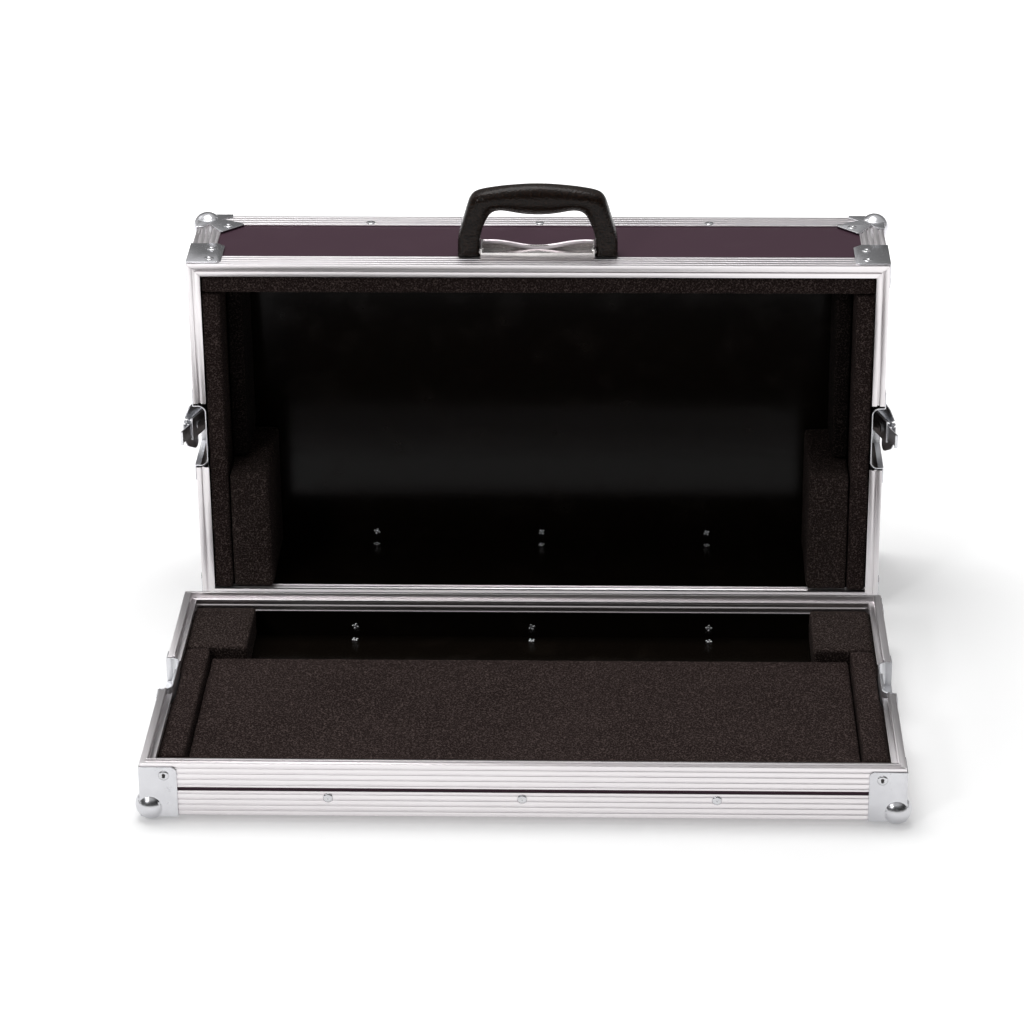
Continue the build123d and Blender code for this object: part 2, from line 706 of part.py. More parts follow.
def handle():
    """Moulded handle, bored for its pins, its feet rounded about them so that it folds over the rim."""
    far = -HANDLE_DEPTH_NEAR - HANDLE_THICKNESS
    body = Pos(0, 0, far) * extrude(handle_outline(), HANDLE_THICKNESS)
    faces = body.faces().sort_by(Axis.Z)
    loops = faces[0].edges() + faces[-1].edges()
    outer_edges = loops.filter_by(lambda edge: edge.center().Y > 2 * FOOT_CLEARANCE)
    body = fillet(outer_edges, HANDLE_ROUNDING)
    round_radius = HANDLE_PIVOT_HEIGHT - FOOT_CLEARANCE
    toe_depths = (-HANDLE_DEPTH_NEAR - HANDLE_PIVOT_HEIGHT, -HANDLE_DEPTH_NEAR)
    toe = span_box((-HANDLE_HALF, HANDLE_HALF), (0, HANDLE_PIVOT_HEIGHT), toe_depths)
    across = handle_pivot() * Rot(0, 90, 0)
    body -= toe - across * Cylinder(round_radius, 4 * HANDLE_HALF)
    return body - across * Cylinder(HANDLE_PIN_RADIUS + HANDLE_PIN_GAP, 2 * pin_reach())


def pin_reach():
    """Distance of a handle pin's outer end from the middle of the handle."""
    return HANDLE_HALF - FOOT_WIDTH + HANDLE_PIN_ENGAGE


def handle_bracket():
    """Pressed tray between the handle's feet: base, low front lip, scooped rear lip and two ears."""
    half = HANDLE_HALF - FOOT_WIDTH - BRACKET_GAP
    near = -BRACKET_NEAR
    far = near - BRACKET_DEPTH
    sheet = BRACKET_SHEET
    body = span_box((-half, half), (0, sheet), (far, near))
    body += span_box((-half, half), (0, BRACKET_FRONT_LIP), (near - sheet, near))
    scoop = make_face(
        [
            Line((-half, 0), (half, 0)),
            Line((half, 0), (half, BRACKET_EAR)),
            ThreePointArc((half, BRACKET_EAR), (0, BRACKET_REAR_MIDDLE), (-half, BRACKET_EAR)),
            Line((-half, BRACKET_EAR), (-half, 0)),
        ]
    )
    body += Pos(0, 0, far) * extrude(scoop, sheet)
    for low, high in ((-half, -half + sheet), (half - sheet, half)):
        body += span_box((low, high), (0, BRACKET_EAR), (far, near))
    return body - handle_pivot() * Rot(0, 90, 0) * Cylinder(HANDLE_PIN_RADIUS, 4 * half)


def handle_pins():
    """The two steel pins, fixed in the bracket's ears and turning in the handle's feet."""
    inner = HANDLE_HALF - FOOT_WIDTH - BRACKET_GAP - 2 * BRACKET_SHEET
    length = pin_reach() - inner
    middle = (pin_reach() + inner) / 2
    pin = Rot(0, 90, 0) * Cylinder(HANDLE_PIN_RADIUS, length)
    return [handle_pivot() * Pos(side * middle, 0, 0) * pin for side in (-1, 1)]


def lining_space(height, dish_length):
    """Room for the foam inside a half: between the walls and inner flanges, clear of the dishes."""
    half_x = WIDTH / 2 - INNER
    half_y = DEPTH / 2 - INNER
    neck_x = WIDTH / 2 - LIP_REACH - FOAM_CLEARANCE
    neck_y = DEPTH / 2 - LIP_REACH - FOAM_CLEARANCE
    shoulder = height - INNER_FLANGE - FOAM_CLEARANCE
    room = span_box((-half_x, half_x), (-half_y, half_y), (INNER, shoulder))
    room += span_box((-neck_x, neck_x), (-neck_y, neck_y), (INNER, height - FOAM_FRONT))
    half_dish = DISH_WIDTH / 2 + SHEET + FOAM_CLEARANCE
    dish_face = WIDTH / 2 - DISH_DEPTH - SHEET - FOAM_CLEARANCE
    dish_low = height - dish_length - SHEET - FOAM_CLEARANCE
    for low, high in ((-WIDTH, -dish_face), (dish_face, WIDTH)):
        room -= span_box((low, high), (-half_dish, half_dish), (dish_low, height))
    return room


def both_sides(piece):
    """A piece made for the right side and its mirror image on the left."""
    return [piece, mirror(piece, Plane.YZ)]


def lid_foam():
    """Foam of the lid: strips along three walls, a deeper pad on each side, a block in each lower corner."""
    room = lining_space(LID_HEIGHT, DISH_LENGTH)
    strip_x = WIDTH / 2 - INNER - LID_STRIP
    strip_y = DEPTH / 2 - INNER - LID_STRIP
    block_x = WIDTH / 2 - LID_BLOCK_REACH
    block_y = -DEPTH / 2 + LID_BLOCK_HEIGHT
    pad_x = WIDTH / 2 - LID_PAD_REACH
    full = (0, LID_HEIGHT)
    return {
        "lid_top_foam": [room & span_box((-WIDTH / 2, WIDTH / 2), (strip_y, DEPTH / 2), full)],
        "lid_side_foam": both_sides(room & span_box((strip_x, WIDTH / 2), (-DEPTH / 2, strip_y), full)),
        "lid_corner_blocks": both_sides(
            room & span_box((block_x, strip_x), (-DEPTH / 2, block_y), (0, LID_HEIGHT - LID_BLOCK_FRONT))
        ),
        "lid_side_pads": both_sides(
            room & span_box((pad_x, strip_x), (block_y, strip_y), (0, LID_HEIGHT - LID_PAD_FRONT))
        ),
    }


def base_foam():
    """Foam of the base: floor pad, strips along three walls and a block at each end of the cable bay."""
    room = lining_space(BASE_HEIGHT, CATCH_LENGTH)
    strip_x = WIDTH / 2 - INNER - BASE_STRIP
    strip_y = -DEPTH / 2 + INNER + BASE_STRIP
    block_x = WIDTH / 2 - BASE_BLOCK_REACH
    bay_y = DEPTH / 2 - BAY_DEPTH
    upper = (0, BASE_STRIP_TOP)
    right_strip = room & span_box((strip_x, WIDTH / 2), (strip_y, bay_y), upper)
    return {
        "base_pad": [room & span_box((-strip_x, strip_x), (strip_y, bay_y), (0, BASE_PAD_TOP))],
        "base_front_foam": [room & span_box((-WIDTH / 2, WIDTH / 2), (-DEPTH / 2, strip_y), upper)],
        "base_right_foam": [right_strip],
        "base_left_foam": [mirror(right_strip, Plane.YZ)],
        "base_rear_blocks": both_sides(room & span_box((block_x, WIDTH / 2), (bay_y, DEPTH / 2), upper)),
    }


def drilled(piece, places):
    """A piece with a hole for each split rivet that crosses it."""
    for place in places:
        piece = piece - place * rivet_hole()
    return piece


def base_nodes():
    """All pieces of the base tray in its own frame, by node name."""
    bare = split_places("rear", BASE_RIVET_PITCH)
    panel, front, rear, right, left = box_walls(BASE_HEIGHT, CATCH_LENGTH)
    nodes = {
        "base_panel": [drilled(panel, bare)],
        "base_front_wall": [front],
        "base_rear_wall": [drilled(rear, bare)],
        "base_right_wall": [right],
        "base_left_wall": [left],
    }
    for side in SIDES:
        edge = mitred_bar(Plane.YZ * angle_section(), side, BASE_HEIGHT, ANGLE_TRIM)
        nodes[f"base_{side}_edge"] = [drilled(edge, bare) if side == "rear" else edge]
        rim = rim_lengths(side, tongue_section(BASE_HEIGHT), BASE_HEIGHT, DISH_WIDTH)
        nodes[f"base_{side}_rim"] = rim.solids()
    nodes["base_ball_corners"] = at_corners(ball_corner(tall_plate(BASE_HEIGHT)))
    catch = dish_frame(BASE_HEIGHT) * catch_dish()
    nodes["base_right_catch"] = [catch]
    nodes["base_left_catch"] = [mirror(catch, Plane.YZ)]
    tall = [(TALL_RIVET_SIDE, BASE_HEIGHT - TALL_RIVET_DROP)]
    lobe = [(LOBE_RIVET, LOBE_RIVET)]
    heads = hidden_leg_places("rear", BASE_RIVET_PITCH) + corner_places(tall, tall, lobe)
    nodes["base_rivets"] = [place * split_rivet() for place in bare] + [place * head() for place in heads]
    nodes.update(base_foam())
    return nodes


def latch_nodes():
    """Both latches of the lid by node name, open as the picture shows them, in the lid's frame."""
    frame = dish_frame(LID_HEIGHT)
    right = {
        "latch_dish": frame * latch_dish(),
        "latch_pin": frame * latch_pin(),
        "latch_arm": frame * arm_swung() * latch_arm(),
        "latch_hook": frame * hook_drawn() * latch_hook(),
        "latch_rotor": frame * rotor_turned() * latch_rotor(),
        "latch_upper_wing": frame * wing_folded(0) * wing(),
        "latch_lower_wing": frame * wing_folded(1) * wing(),
    }
    nodes = {"latch_pins": both_sides(right.pop("latch_pin"))}
    for name, piece in right.items():
        nodes[f"right_{name}"] = [piece]
        nodes[f"left_{name}"] = [mirror(piece, Plane.YZ)]
    return nodes


def lid_nodes():
    """All pieces of the lid in its own frame, by node name: its front side stands on the floor."""
    bare = split_places("front", LID_BOTTOM_RIVET_PITCH)
    panel, bottom, top, right, left = box_walls(LID_HEIGHT, DISH_LENGTH)
    nodes = {
        "lid_panel": [drilled(panel, bare)],
        "lid_bottom_wall": [drilled(bottom, bare)],
        "lid_top_wall": [top],
        "lid_right_wall": [right],
        "lid_left_wall": [left],
    }
    for side, name in zip(SIDES, ("bottom", "right", "top", "left")):
        edge = mitred_bar(Plane.YZ * angle_section(), side, LID_HEIGHT, ANGLE_TRIM)
        nodes[f"lid_{name}_edge"] = [drilled(edge, bare) if side == "front" else edge]
        rim = rim_lengths(side, groove_section(LID_HEIGHT), LID_HEIGHT, DISH_WIDTH)
        nodes[f"lid_{name}_rim"] = rim.solids()
    nodes["lid_corner_angles"] = at_corners(corner_angle())
    nodes["lid_ball_corners"] = at_corners(ball_corner(lobed_plate()))
    nodes["lid_rim_braces"] = at_corners(rim_brace())
    lobe = [(LOBE_RIVET, LOBE_RIVET)]
    brace = [(BRACE_RIVET_SIDE, LID_HEIGHT - drop) for drop in (BRACE_RIVET_NEAR, BRACE_RIVET_FAR)]
    heads = hidden_leg_places("front", LID_TOP_RIVET_PITCH) + corner_places(lobe, lobe, lobe)
    nodes["lid_rivets"] = [place * split_rivet() for place in bare] + [place * head() for place in heads]
    nodes["lid_brace_rivets"] = [place * head() for place in corner_places(brace, brace, [])]
    nodes["handle"] = [handle_frame() * handle()]
    nodes["handle_bracket"] = [handle_frame() * handle_bracket()]
    nodes["handle_pins"] = [handle_frame() * pin for pin in handle_pins()]
    nodes.update(latch_nodes())
    nodes.update(lid_foam())
    return nodes


def lid_lean():
    """Forward lean of the lid, which stands on two balls at its back and two brace rivets at its rim."""
    rise = BALL_INSET + SHEET + HEAD_HEIGHT
    run = LID_HEIGHT - BRACE_RIVET_NEAR + HEAD_TOP_RADIUS - BALL_INSET
    return degrees(atan2(run, rise) - acos(BALL_RADIUS / hypot(rise, run)))


def stand_places():
    """Places of the base and of the lid, the origin on the floor under the middle of the whole."""
    lean = radians(lid_lean())
    lid_z = BALL_RADIUS + (DEPTH / 2 - BALL_INSET) * cos(lean) + BALL_INSET * sin(lean)
    rim_y = DEPTH / 2 + STAND_GAP
    lid_y = rim_y - DEPTH / 2 * sin(lean) + LID_HEIGHT * cos(lean)
    rear = lid_y + (DEPTH / 2 - BALL_INSET) * sin(lean) - BALL_INSET * cos(lean) + BALL_RADIUS
    front = -DEPTH / 2 - BALL_STAND
    middle = (front + rear) / 2
    base = Pos(-LID_SHIFT, -middle, BALL_STAND)
    lid = Pos(0, lid_y - middle, lid_z) * Rot(90 + lid_lean(), 0, 0)
    return base, lid


def export_nodes(nodes, place):
    """Write one STEP file for each node, its solids placed as the half stands."""
    for name, pieces in nodes.items():
        placed = [place * piece for piece in pieces]
        shape = placed[0] if len(placed) == 1 else Compound(children=placed)
        export_step(shape, f"parts/{name}.step")


def main():
    """Build both halves and write every node."""
    os.makedirs("parts", exist_ok=True)
    base_place, lid_place = stand_places()
    export_nodes(base_nodes(), base_place)
    export_nodes(lid_nodes(), lid_place)


main()
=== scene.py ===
"""Open flight case for a small synthesizer, dressed for a photograph.

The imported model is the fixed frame. Each sub-assembly is a class that builds its meshes and gives them their
finish, and main() builds them in order. Lengths are in metres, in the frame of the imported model.
"""
import logging
import math
from dataclasses import dataclass, field
from enum import Enum
from typing import Mapping, Sequence

import bmesh
import bpy
from mathutils import Matrix, Vector, noise


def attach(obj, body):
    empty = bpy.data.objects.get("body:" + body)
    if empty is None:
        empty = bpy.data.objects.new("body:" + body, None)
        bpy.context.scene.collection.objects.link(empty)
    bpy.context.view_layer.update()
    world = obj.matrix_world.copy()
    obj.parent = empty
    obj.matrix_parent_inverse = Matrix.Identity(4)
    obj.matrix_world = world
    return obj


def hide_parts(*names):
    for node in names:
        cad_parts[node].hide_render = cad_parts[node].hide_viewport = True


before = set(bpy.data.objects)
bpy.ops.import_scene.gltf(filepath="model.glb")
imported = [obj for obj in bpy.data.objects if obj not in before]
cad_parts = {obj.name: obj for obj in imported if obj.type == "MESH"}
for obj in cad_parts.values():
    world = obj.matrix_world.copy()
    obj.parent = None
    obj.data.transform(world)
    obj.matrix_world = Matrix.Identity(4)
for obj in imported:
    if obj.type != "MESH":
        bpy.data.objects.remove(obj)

log = logging.getLogger("case")

Color = tuple[float, float, float, float]
Point = tuple[float, float, float]

WHITE: Color = (1.0, 1.0, 1.0, 1.0)


class Body(Enum):
    """The rigid bodies that pieces ride on."""

    BASE = "base"
    LID = "lid"
    HANDLE = "handle"


class Run(Enum):
    """Direction in which a profile was drawn, so in which its fine lines run."""

    ACROSS = 0
    DEEP = 1
    UP = 2


class Face(Enum):
    """The two faces of a board."""

    OUTSIDE = 0
    INSIDE = 1


class Wire:
    """An output socket that takes part in arithmetic, each operator adding its Math node."""

    def __init__(self, bench: "Bench", socket: bpy.types.NodeSocket) -> None:
        """Wrap a socket.

        Args:
            bench: the tree that the socket belongs to.
            socket: the output socket.
        """
        self.bench = bench
        self.socket = socket

    def _math(self, operation: str, first: object, second: object = 0.0) -> "Wire":
        """Add one Math node.

        Args:
            operation: Blender's name of the operation.
            first: the first operand, a wire or a number.
            second: the second operand, a wire or a number.

        Returns:
            The node's result.
        """
        node = self.bench.node("ShaderNodeMath", {"operation": operation}, {0: first, 1: second})
        return Wire(self.bench, node.outputs[0])

    def __add__(self, other: object) -> "Wire":
        """Sum."""
        return self._math("ADD", self, other)

    def __radd__(self, other: object) -> "Wire":
        """Sum with a number on the left."""
        return self._math("ADD", other, self)

    def __sub__(self, other: object) -> "Wire":
        """Difference."""
        return self._math("SUBTRACT", self, other)

    def __rsub__(self, other: object) -> "Wire":
        """Difference with a number on the left."""
        return self._math("SUBTRACT", other, self)

    def __mul__(self, other: object) -> "Wire":
        """Product."""
        return self._math("MULTIPLY", self, other)

    def __rmul__(self, other: object) -> "Wire":
        """Product with a number on the left."""
        return self._math("MULTIPLY", other, self)

    def __truediv__(self, other: object) -> "Wire":
        """Quotient."""
        return self._math("DIVIDE", self, other)

    def __gt__(self, other: object) -> "Wire":
        """One where this is greater, else nought."""
        return self._math("GREATER_THAN", self, other)

    def root(self) -> "Wire":
        """Square root."""
        return self._math("SQRT", self)

    def at_least(self, low: float) -> "Wire":
        """The greater of this and a number."""
        return self._math("MAXIMUM", self, low)

    def ramp(self, low: float, high: float, start: float = 0.0, end: float = 1.0) -> "Wire":
        """Map one range to another, held at its ends.

        Args:
            low: value that maps to start.
            high: value that maps to end.
            start: result at low.
            end: result at high.

        Returns:
            The mapped value.
        """
        values = {"Value": self, "From Min": low, "From Max": high, "To Min": start, "To Max": end}
        node = self.bench.node("ShaderNodeMapRange", {"clamp": True}, values)
        return Wire(self.bench, node.outputs[0])


class Bench:
    """A node tree and the one method that adds nodes to it."""

    def __init__(self, tree: bpy.types.NodeTree) -> None:
        """Keep the tree."""
        self.tree = tree

    def node(
        self,
        kind: str,
        settings: Mapping[str, object] | None = None,
        values: Mapping[object, object] | None = None,
    ) -> bpy.types.Node:
        """Add a node.

        Args:
            kind: the node's type.
            settings: its properties, set first.
            values: values, wires or sockets for its inputs, by name or number.

        Returns:
            The node.
        """
        made = self.tree.nodes.new(kind)
        for name, setting in (settings or {}).items():
            setattr(made, name, setting)
        for key, value in (values or {}).items():
            target = made.inputs[key]
            if isinstance(value, Wire):
                self.tree.links.new(value.socket, target)
            elif isinstance(value, bpy.types.NodeSocket):
                self.tree.links.new(value, target)
            else:
                target.default_value = value
        return made

    def wire(
        self,
        kind: str,
        settings: Mapping[str, object] | None = None,
        values: Mapping[object, object] | None = None,
        output: object = 0,
    ) -> Wire:
        """Add a node and take one of its outputs.

        Args:
            kind: the node's type.
            settings: its properties.
            values: its inputs.
            output: name or number of the output.

        Returns:
            The output.
        """
        return Wire(self, self.node(kind, settings, values).outputs[output])


class Canvas(Bench):
    """The node tree of one material, with its shader ready."""

    def __init__(self, name: str) -> None:
        """Start a material of that name.

        Args:
            name: the material's name.
        """
        self.material = bpy.data.materials.new(name)
        self.material.use_nodes = True
        super().__init__(self.material.node_tree)
        self.tree.nodes.clear()
        self.shader = self.node("ShaderNodeBsdfPrincipled")
        output = self.node("ShaderNodeOutputMaterial")
        self.tree.links.new(self.shader.outputs[0], output.inputs["Surface"])

    def place(self, stretch: Point = (1.0, 1.0, 1.0)) -> Wire:
        """Object coordinates, stretched.

        Args:
            stretch: how much finer the pattern runs along each axis.

        Returns:
            The coordinates.
        """
        here = self.wire("ShaderNodeTexCoord", output="Object")
        return self.wire("ShaderNodeMapping", None, {"Vector": here, "Scale": stretch})

    def grain(self, at: Wire, scale: float, detail: float = 3.0, rough: float = 0.55) -> Wire:
        """Noise between about 0 and 1.

        Args:
            at: the coordinates it reads.
            scale: features in each metre.
            detail: octaves.
            rough: how strong the fine octaves are.

        Returns:
            The noise value.
        """
        values = {"Vector": at, "Scale": scale, "Detail": detail, "Roughness": rough}
        return self.wire("ShaderNodeTexNoise", None, values)

    def cells(self, at: Wire, scale: float) -> Wire:
        """Distance to the nearest cell point.

        Args:
            at: the coordinates it reads.
            scale: cells in each metre.

        Returns:
            The distance.
        """
        return self.wire("ShaderNodeTexVoronoi", None, {"Vector": at, "Scale": scale}, "Distance")

    def blend(self, factor: Wire, first: Color, second: object) -> Wire:
        """Mix two colors.

        Args:
            factor: share of the second.
            first: color where the factor is nought.
            second: color or wire where it is one.

        Returns:
            The mixed color.
        """
        node = self.node("ShaderNodeMix", {"data_type": "RGBA"}, {0: factor, 6: first, 7: second})
        return Wire(self, node.outputs[2])

    def set(self, values: Mapping[str, object]) -> None:
        """Set the shader's sockets.

        Args:
            values: numbers, colors or wires by socket name.
        """
        for name, value in values.items():
            if isinstance(value, Wire):
                self.tree.links.new(value.socket, self.shader.inputs[name])
            else:
                self.shader.inputs[name].default_value = value

    def bump(self, height: Wire, depth: float, strength: float = 1.0) -> None:
        """Let a height bend the shader's normal.

        Args:
            height: the height, from 0 to 1.
            depth: how deep one unit of height is, in metres.
            strength: share of the effect.
        """
        values = {"Height": height, "Distance": depth, "Strength": strength}
        self.set({"Normal": self.wire("ShaderNodeBump", None, values)})


@dataclass(frozen=True)
class Finish:
    """A finish by name; each kind paints its own canvas."""

    name: str

    def material(self) -> bpy.types.Material:
        """The finish as a material, made once.

        Returns:
            The material.
        """
        known = bpy.data.materials.get(self.name)
        if known is None:
            canvas = Canvas(self.name)
            self.paint(canvas)
            known = canvas.material
        return known

    def paint(self, canvas: Canvas) -> None:
        """Wire the finish."""
        raise NotImplementedError


@dataclass(frozen=True)
class DrawnAluminium(Finish):
    """Natural anodised aluminium with the fine lines of its drawing."""

    run: Run
    tone: Color = (0.91, 0.88, 0.89, 1.0)
    dull: Color = (0.79, 0.75, 0.765, 1.0)
    roughness: float = 0.31

    def paint(self, canvas: Canvas) -> None:
        """Fine straight lines along the run, with soft patches and a few dull marks.

        Args:
            canvas: the canvas of the finish.
        """
        stretch = [1300.0, 1300.0, 1300.0]
        stretch[self.run.value] = 0.8
        lines = canvas.grain(canvas.place(tuple(stretch)), 1.0, 1.0)
        patches = canvas.grain(canvas.place(), 9.0, 2.0)
        marks = canvas.grain(canvas.place(), 150.0, 3.0).ramp(0.72, 0.86)
        share = (lines * 0.7 + patches * 0.2 + marks * 0.2).ramp(0.3, 0.8)
        rough = (self.roughness - 0.03) + lines * 0.04 + patches * 0.03 + marks * 0.05
        canvas.set({"Base Color": canvas.blend(share, self.tone, self.dull), "Metallic": 1.0, "Roughness": rough})


@dataclass(frozen=True)
class PlatedSteel(Finish):
    """Zinc or chrome plate on pressed steel."""

    tone: Color
    dull: Color
    roughness: float
    waviness: float = 0.00008

    def paint(self, canvas: Canvas) -> None:
        """Soft patches, hairline scratches and the slight waviness of a pressing.

        Args:
            canvas: the canvas of the finish.
        """
        patches = canvas.grain(canvas.place(), 60.0, 4.0)
        hairs = canvas.grain(canvas.place((240.0, 2600.0, 240.0)), 1.0, 2.0).ramp(0.68, 0.78)
        waves = canvas.grain(canvas.place(), 130.0, 1.0)
        share = (patches * 0.7 + hairs * 0.3).ramp(0.25, 0.75)
        rough = (self.roughness - 0.04) + patches * 0.08 + hairs * 0.10
        canvas.set({"Base Color": canvas.blend(share, self.tone, self.dull), "Metallic": 1.0, "Roughness": rough})
        canvas.bump(waves, self.waviness)


@dataclass(frozen=True)
class Laminate(Finish):
    """Phenolic film on the plywood: satin outside, glossy inside."""

    tone: Color
    worn: Color
    roughness: float
    dust: float
    gloss: float

    def paint(self, canvas: Canvas) -> None:
        """Film with faint fibre streaks, scuffs and a little dust.

        Args:
            canvas: the canvas of the finish.
        """
        fibres = canvas.grain(canvas.place((60.0, 900.0, 900.0)), 1.0, 3.0)
        scuffs = canvas.grain(canvas.place((30.0, 30.0, 30.0)), 1.0, 5.0).ramp(0.52, 0.75)
        specks = canvas.cells(canvas.place(), 260.0).ramp(0.10, 0.03)
        share = scuffs * 0.5 + fibres * 0.25 + specks * self.dust
        rough = self.roughness + scuffs * 0.07 + fibres * 0.03
        canvas.set(
            {
                "Base Color": canvas.blend(share.ramp(0.0, 1.0), self.tone, self.worn),
                "Roughness": rough,
                "Specular IOR Level": self.gloss,
            }
        )
        canvas.bump(fibres, 0.00002, 0.4)


@dataclass(frozen=True)
class CellFoam(Finish):
    """Open-cell packing foam, dark, with light cell walls."""

    tone: Color
    light: Color

    def paint(self, canvas: Canvas) -> None:
        """Cells, a finer speckle and broad cloudy patches.

        Args:
            canvas: the canvas of the finish.
        """
        cells = canvas.cells(canvas.place(), 620.0)
        speckle = canvas.grain(canvas.place(), 1500.0, 2.0, 0.7)
        clouds = canvas.grain(canvas.place(), 16.0, 3.0)
        walls = cells.ramp(0.30, 0.80) * 0.5 + speckle.ramp(0.45, 0.70) * 0.5
        share = (walls * walls * walls * 1.5 + clouds * 0.10 - 0.03).ramp(0.0, 1.0)
        canvas.set(
            {
                "Base Color": canvas.blend(share, self.tone, self.light),
                "Roughness": 0.97 - walls * 0.08,
                "Specular IOR Level": 0.08,
            }
        )
        canvas.bump(walls, 0.0005, 0.7)


@dataclass(frozen=True)
class GrainedPlastic(Finish):
    """Moulded black plastic with a leather-like grain."""

    tone: Color = (0.0014, 0.0007, 0.0004, 1.0)
    worn: Color = (0.022, 0.0125, 0.0088, 1.0)

    def paint(self, canvas: Canvas) -> None:
        """Pebbled grain, polished on its high places.

        Args:
            canvas: the canvas of the finish.
        """
        pebbles = canvas.cells(canvas.place(), 480.0)
        folds = canvas.grain(canvas.place(), 260.0, 3.0, 0.7)
        height = pebbles * 0.6 + folds * 0.5
        share = height.ramp(0.35, 0.75)
        canvas.set(
            {
                "Base Color": canvas.blend(share, self.tone, self.worn),
                "Roughness": 0.31 - share * 0.10,
                "Specular IOR Level": 0.16,
            }
        )
        canvas.bump(height, 0.0005, 0.7)


@dataclass(frozen=True)
class Palette:
    """All finishes of the case."""

    outside: Laminate = Laminate(
        "laminate_outside", (0.057, 0.029, 0.0425, 1.0), (0.068, 0.038, 0.052, 1.0), 0.38, 0.20, 0.10
    )
    inside: Laminate = Laminate(
        "laminate_inside", (0.0036, 0.0026, 0.0018, 1.0), (0.0090, 0.0065, 0.0048, 1.0), 0.13, 0.10, 0.17
    )
    across: DrawnAluminium = DrawnAluminium("aluminium_across", Run.ACROSS)
    deep: DrawnAluminium = DrawnAluminium("aluminium_deep", Run.DEEP)
    up: DrawnAluminium = DrawnAluminium("aluminium_up", Run.UP)
    # Darker, rougher finish for the profiles' grooves: painted shade in the grooves.
    groove_shade: PlatedSteel = PlatedSteel(
        "aluminium_groove_painted_shade", (0.85, 0.81, 0.83, 1.0), (0.76, 0.72, 0.74, 1.0), 0.40, 0.00001
    )
    corner: PlatedSteel = PlatedSteel(
        "corner_zinc", (0.68, 0.68, 0.705, 1.0), (0.56, 0.56, 0.585, 1.0), 0.24
    )
    latch: PlatedSteel = PlatedSteel(
        "latch_zinc", (0.81, 0.815, 0.84, 1.0), (0.66, 0.665, 0.69, 1.0), 0.37, 0.00003
    )
    bright: PlatedSteel = PlatedSteel(
        "bracket_chrome", (0.74, 0.71, 0.70, 1.0), (0.60, 0.57, 0.56, 1.0), 0.24, 0.00003
    )
    # Dark finish for the hollows of the rivet heads: painted shade in the hollow.
    hollow: PlatedSteel = PlatedSteel(
        "rivet_hollow_painted_shade", (0.055, 0.050, 0.050, 1.0), (0.020, 0.018, 0.018, 1.0), 0.45, 0.00002
    )
    satin: PlatedSteel = PlatedSteel(
        "bracket_satin", (0.74, 0.67, 0.70, 1.0), (0.64, 0.58, 0.60, 1.0), 0.42, 0.00001
    )
    # Dark finish for the recessed faces of the latch dishes: painted shade and painted dark reflection on zinc
    # plate.
    recess_shade: PlatedSteel = PlatedSteel(
        "latch_recess_painted_shade", (0.085, 0.072, 0.068, 1.0), (0.030, 0.024, 0.022, 1.0), 0.38, 0.00003
    )
    rivet: PlatedSteel = PlatedSteel(
        "rivet_nickel", (0.68, 0.68, 0.70, 1.0), (0.48, 0.48, 0.50, 1.0), 0.22, 0.00002
    )
    foam: CellFoam = CellFoam("foam_sheet", (0.0105, 0.006, 0.0054, 1.0), (0.165, 0.122, 0.112, 1.0))
    block_foam: CellFoam = CellFoam("foam_block", (0.0115, 0.007, 0.0062, 1.0), (0.165, 0.127, 0.115, 1.0))
    # Darker copy of the foam for the lid's side pads: their darkness is painted shade.
    pad_foam_painted_shade: CellFoam = CellFoam("foam_pad_painted_shade", (0.0028, 0.0018, 0.0016, 1.0), (0.062, 0.047, 0.043, 1.0))
    plastic: GrainedPlastic = GrainedPlastic("grained_black")


PALETTE = Palette()


@dataclass(frozen=True)
class Half:
    """One half of the case: its outer size, its body and where it stands."""

    body: Body
    width: float
    depth: float
    height: float
    place: Matrix

    def side(self, number: int) -> Matrix:
        """Frame of one side: x along it, y inward, z up from the big panel.

        Args:
            number: 0 front, 1 right, 2 rear, 3 left.

        Returns:
            The side's frame in the frame of the model.
        """
        reach = (self.depth, self.width)[number % 2] / 2
        turn = Matrix.Rotation(math.radians(90 * number), 4, "Z")
        return self.place @ turn @ Matrix.Translation((0, -reach, 0))

    def centre(self) -> Vector:
        """Middle of the half's space."""
        return self.place @ Vector((0, 0, self.height / 2))


BASE = Half(Body.BASE, 0.700, 0.375, 0.053, Matrix.Translation((-0.0047, -0.118821, 0.0065)))
LID = Half(
    Body.LID,
    0.700,
    0.375,
    0.136,
    Matrix.Translation((0, 0.300049, 0.19417)) @ Matrix.Rotation(math.radians(92.001054), 4, "X"),
)


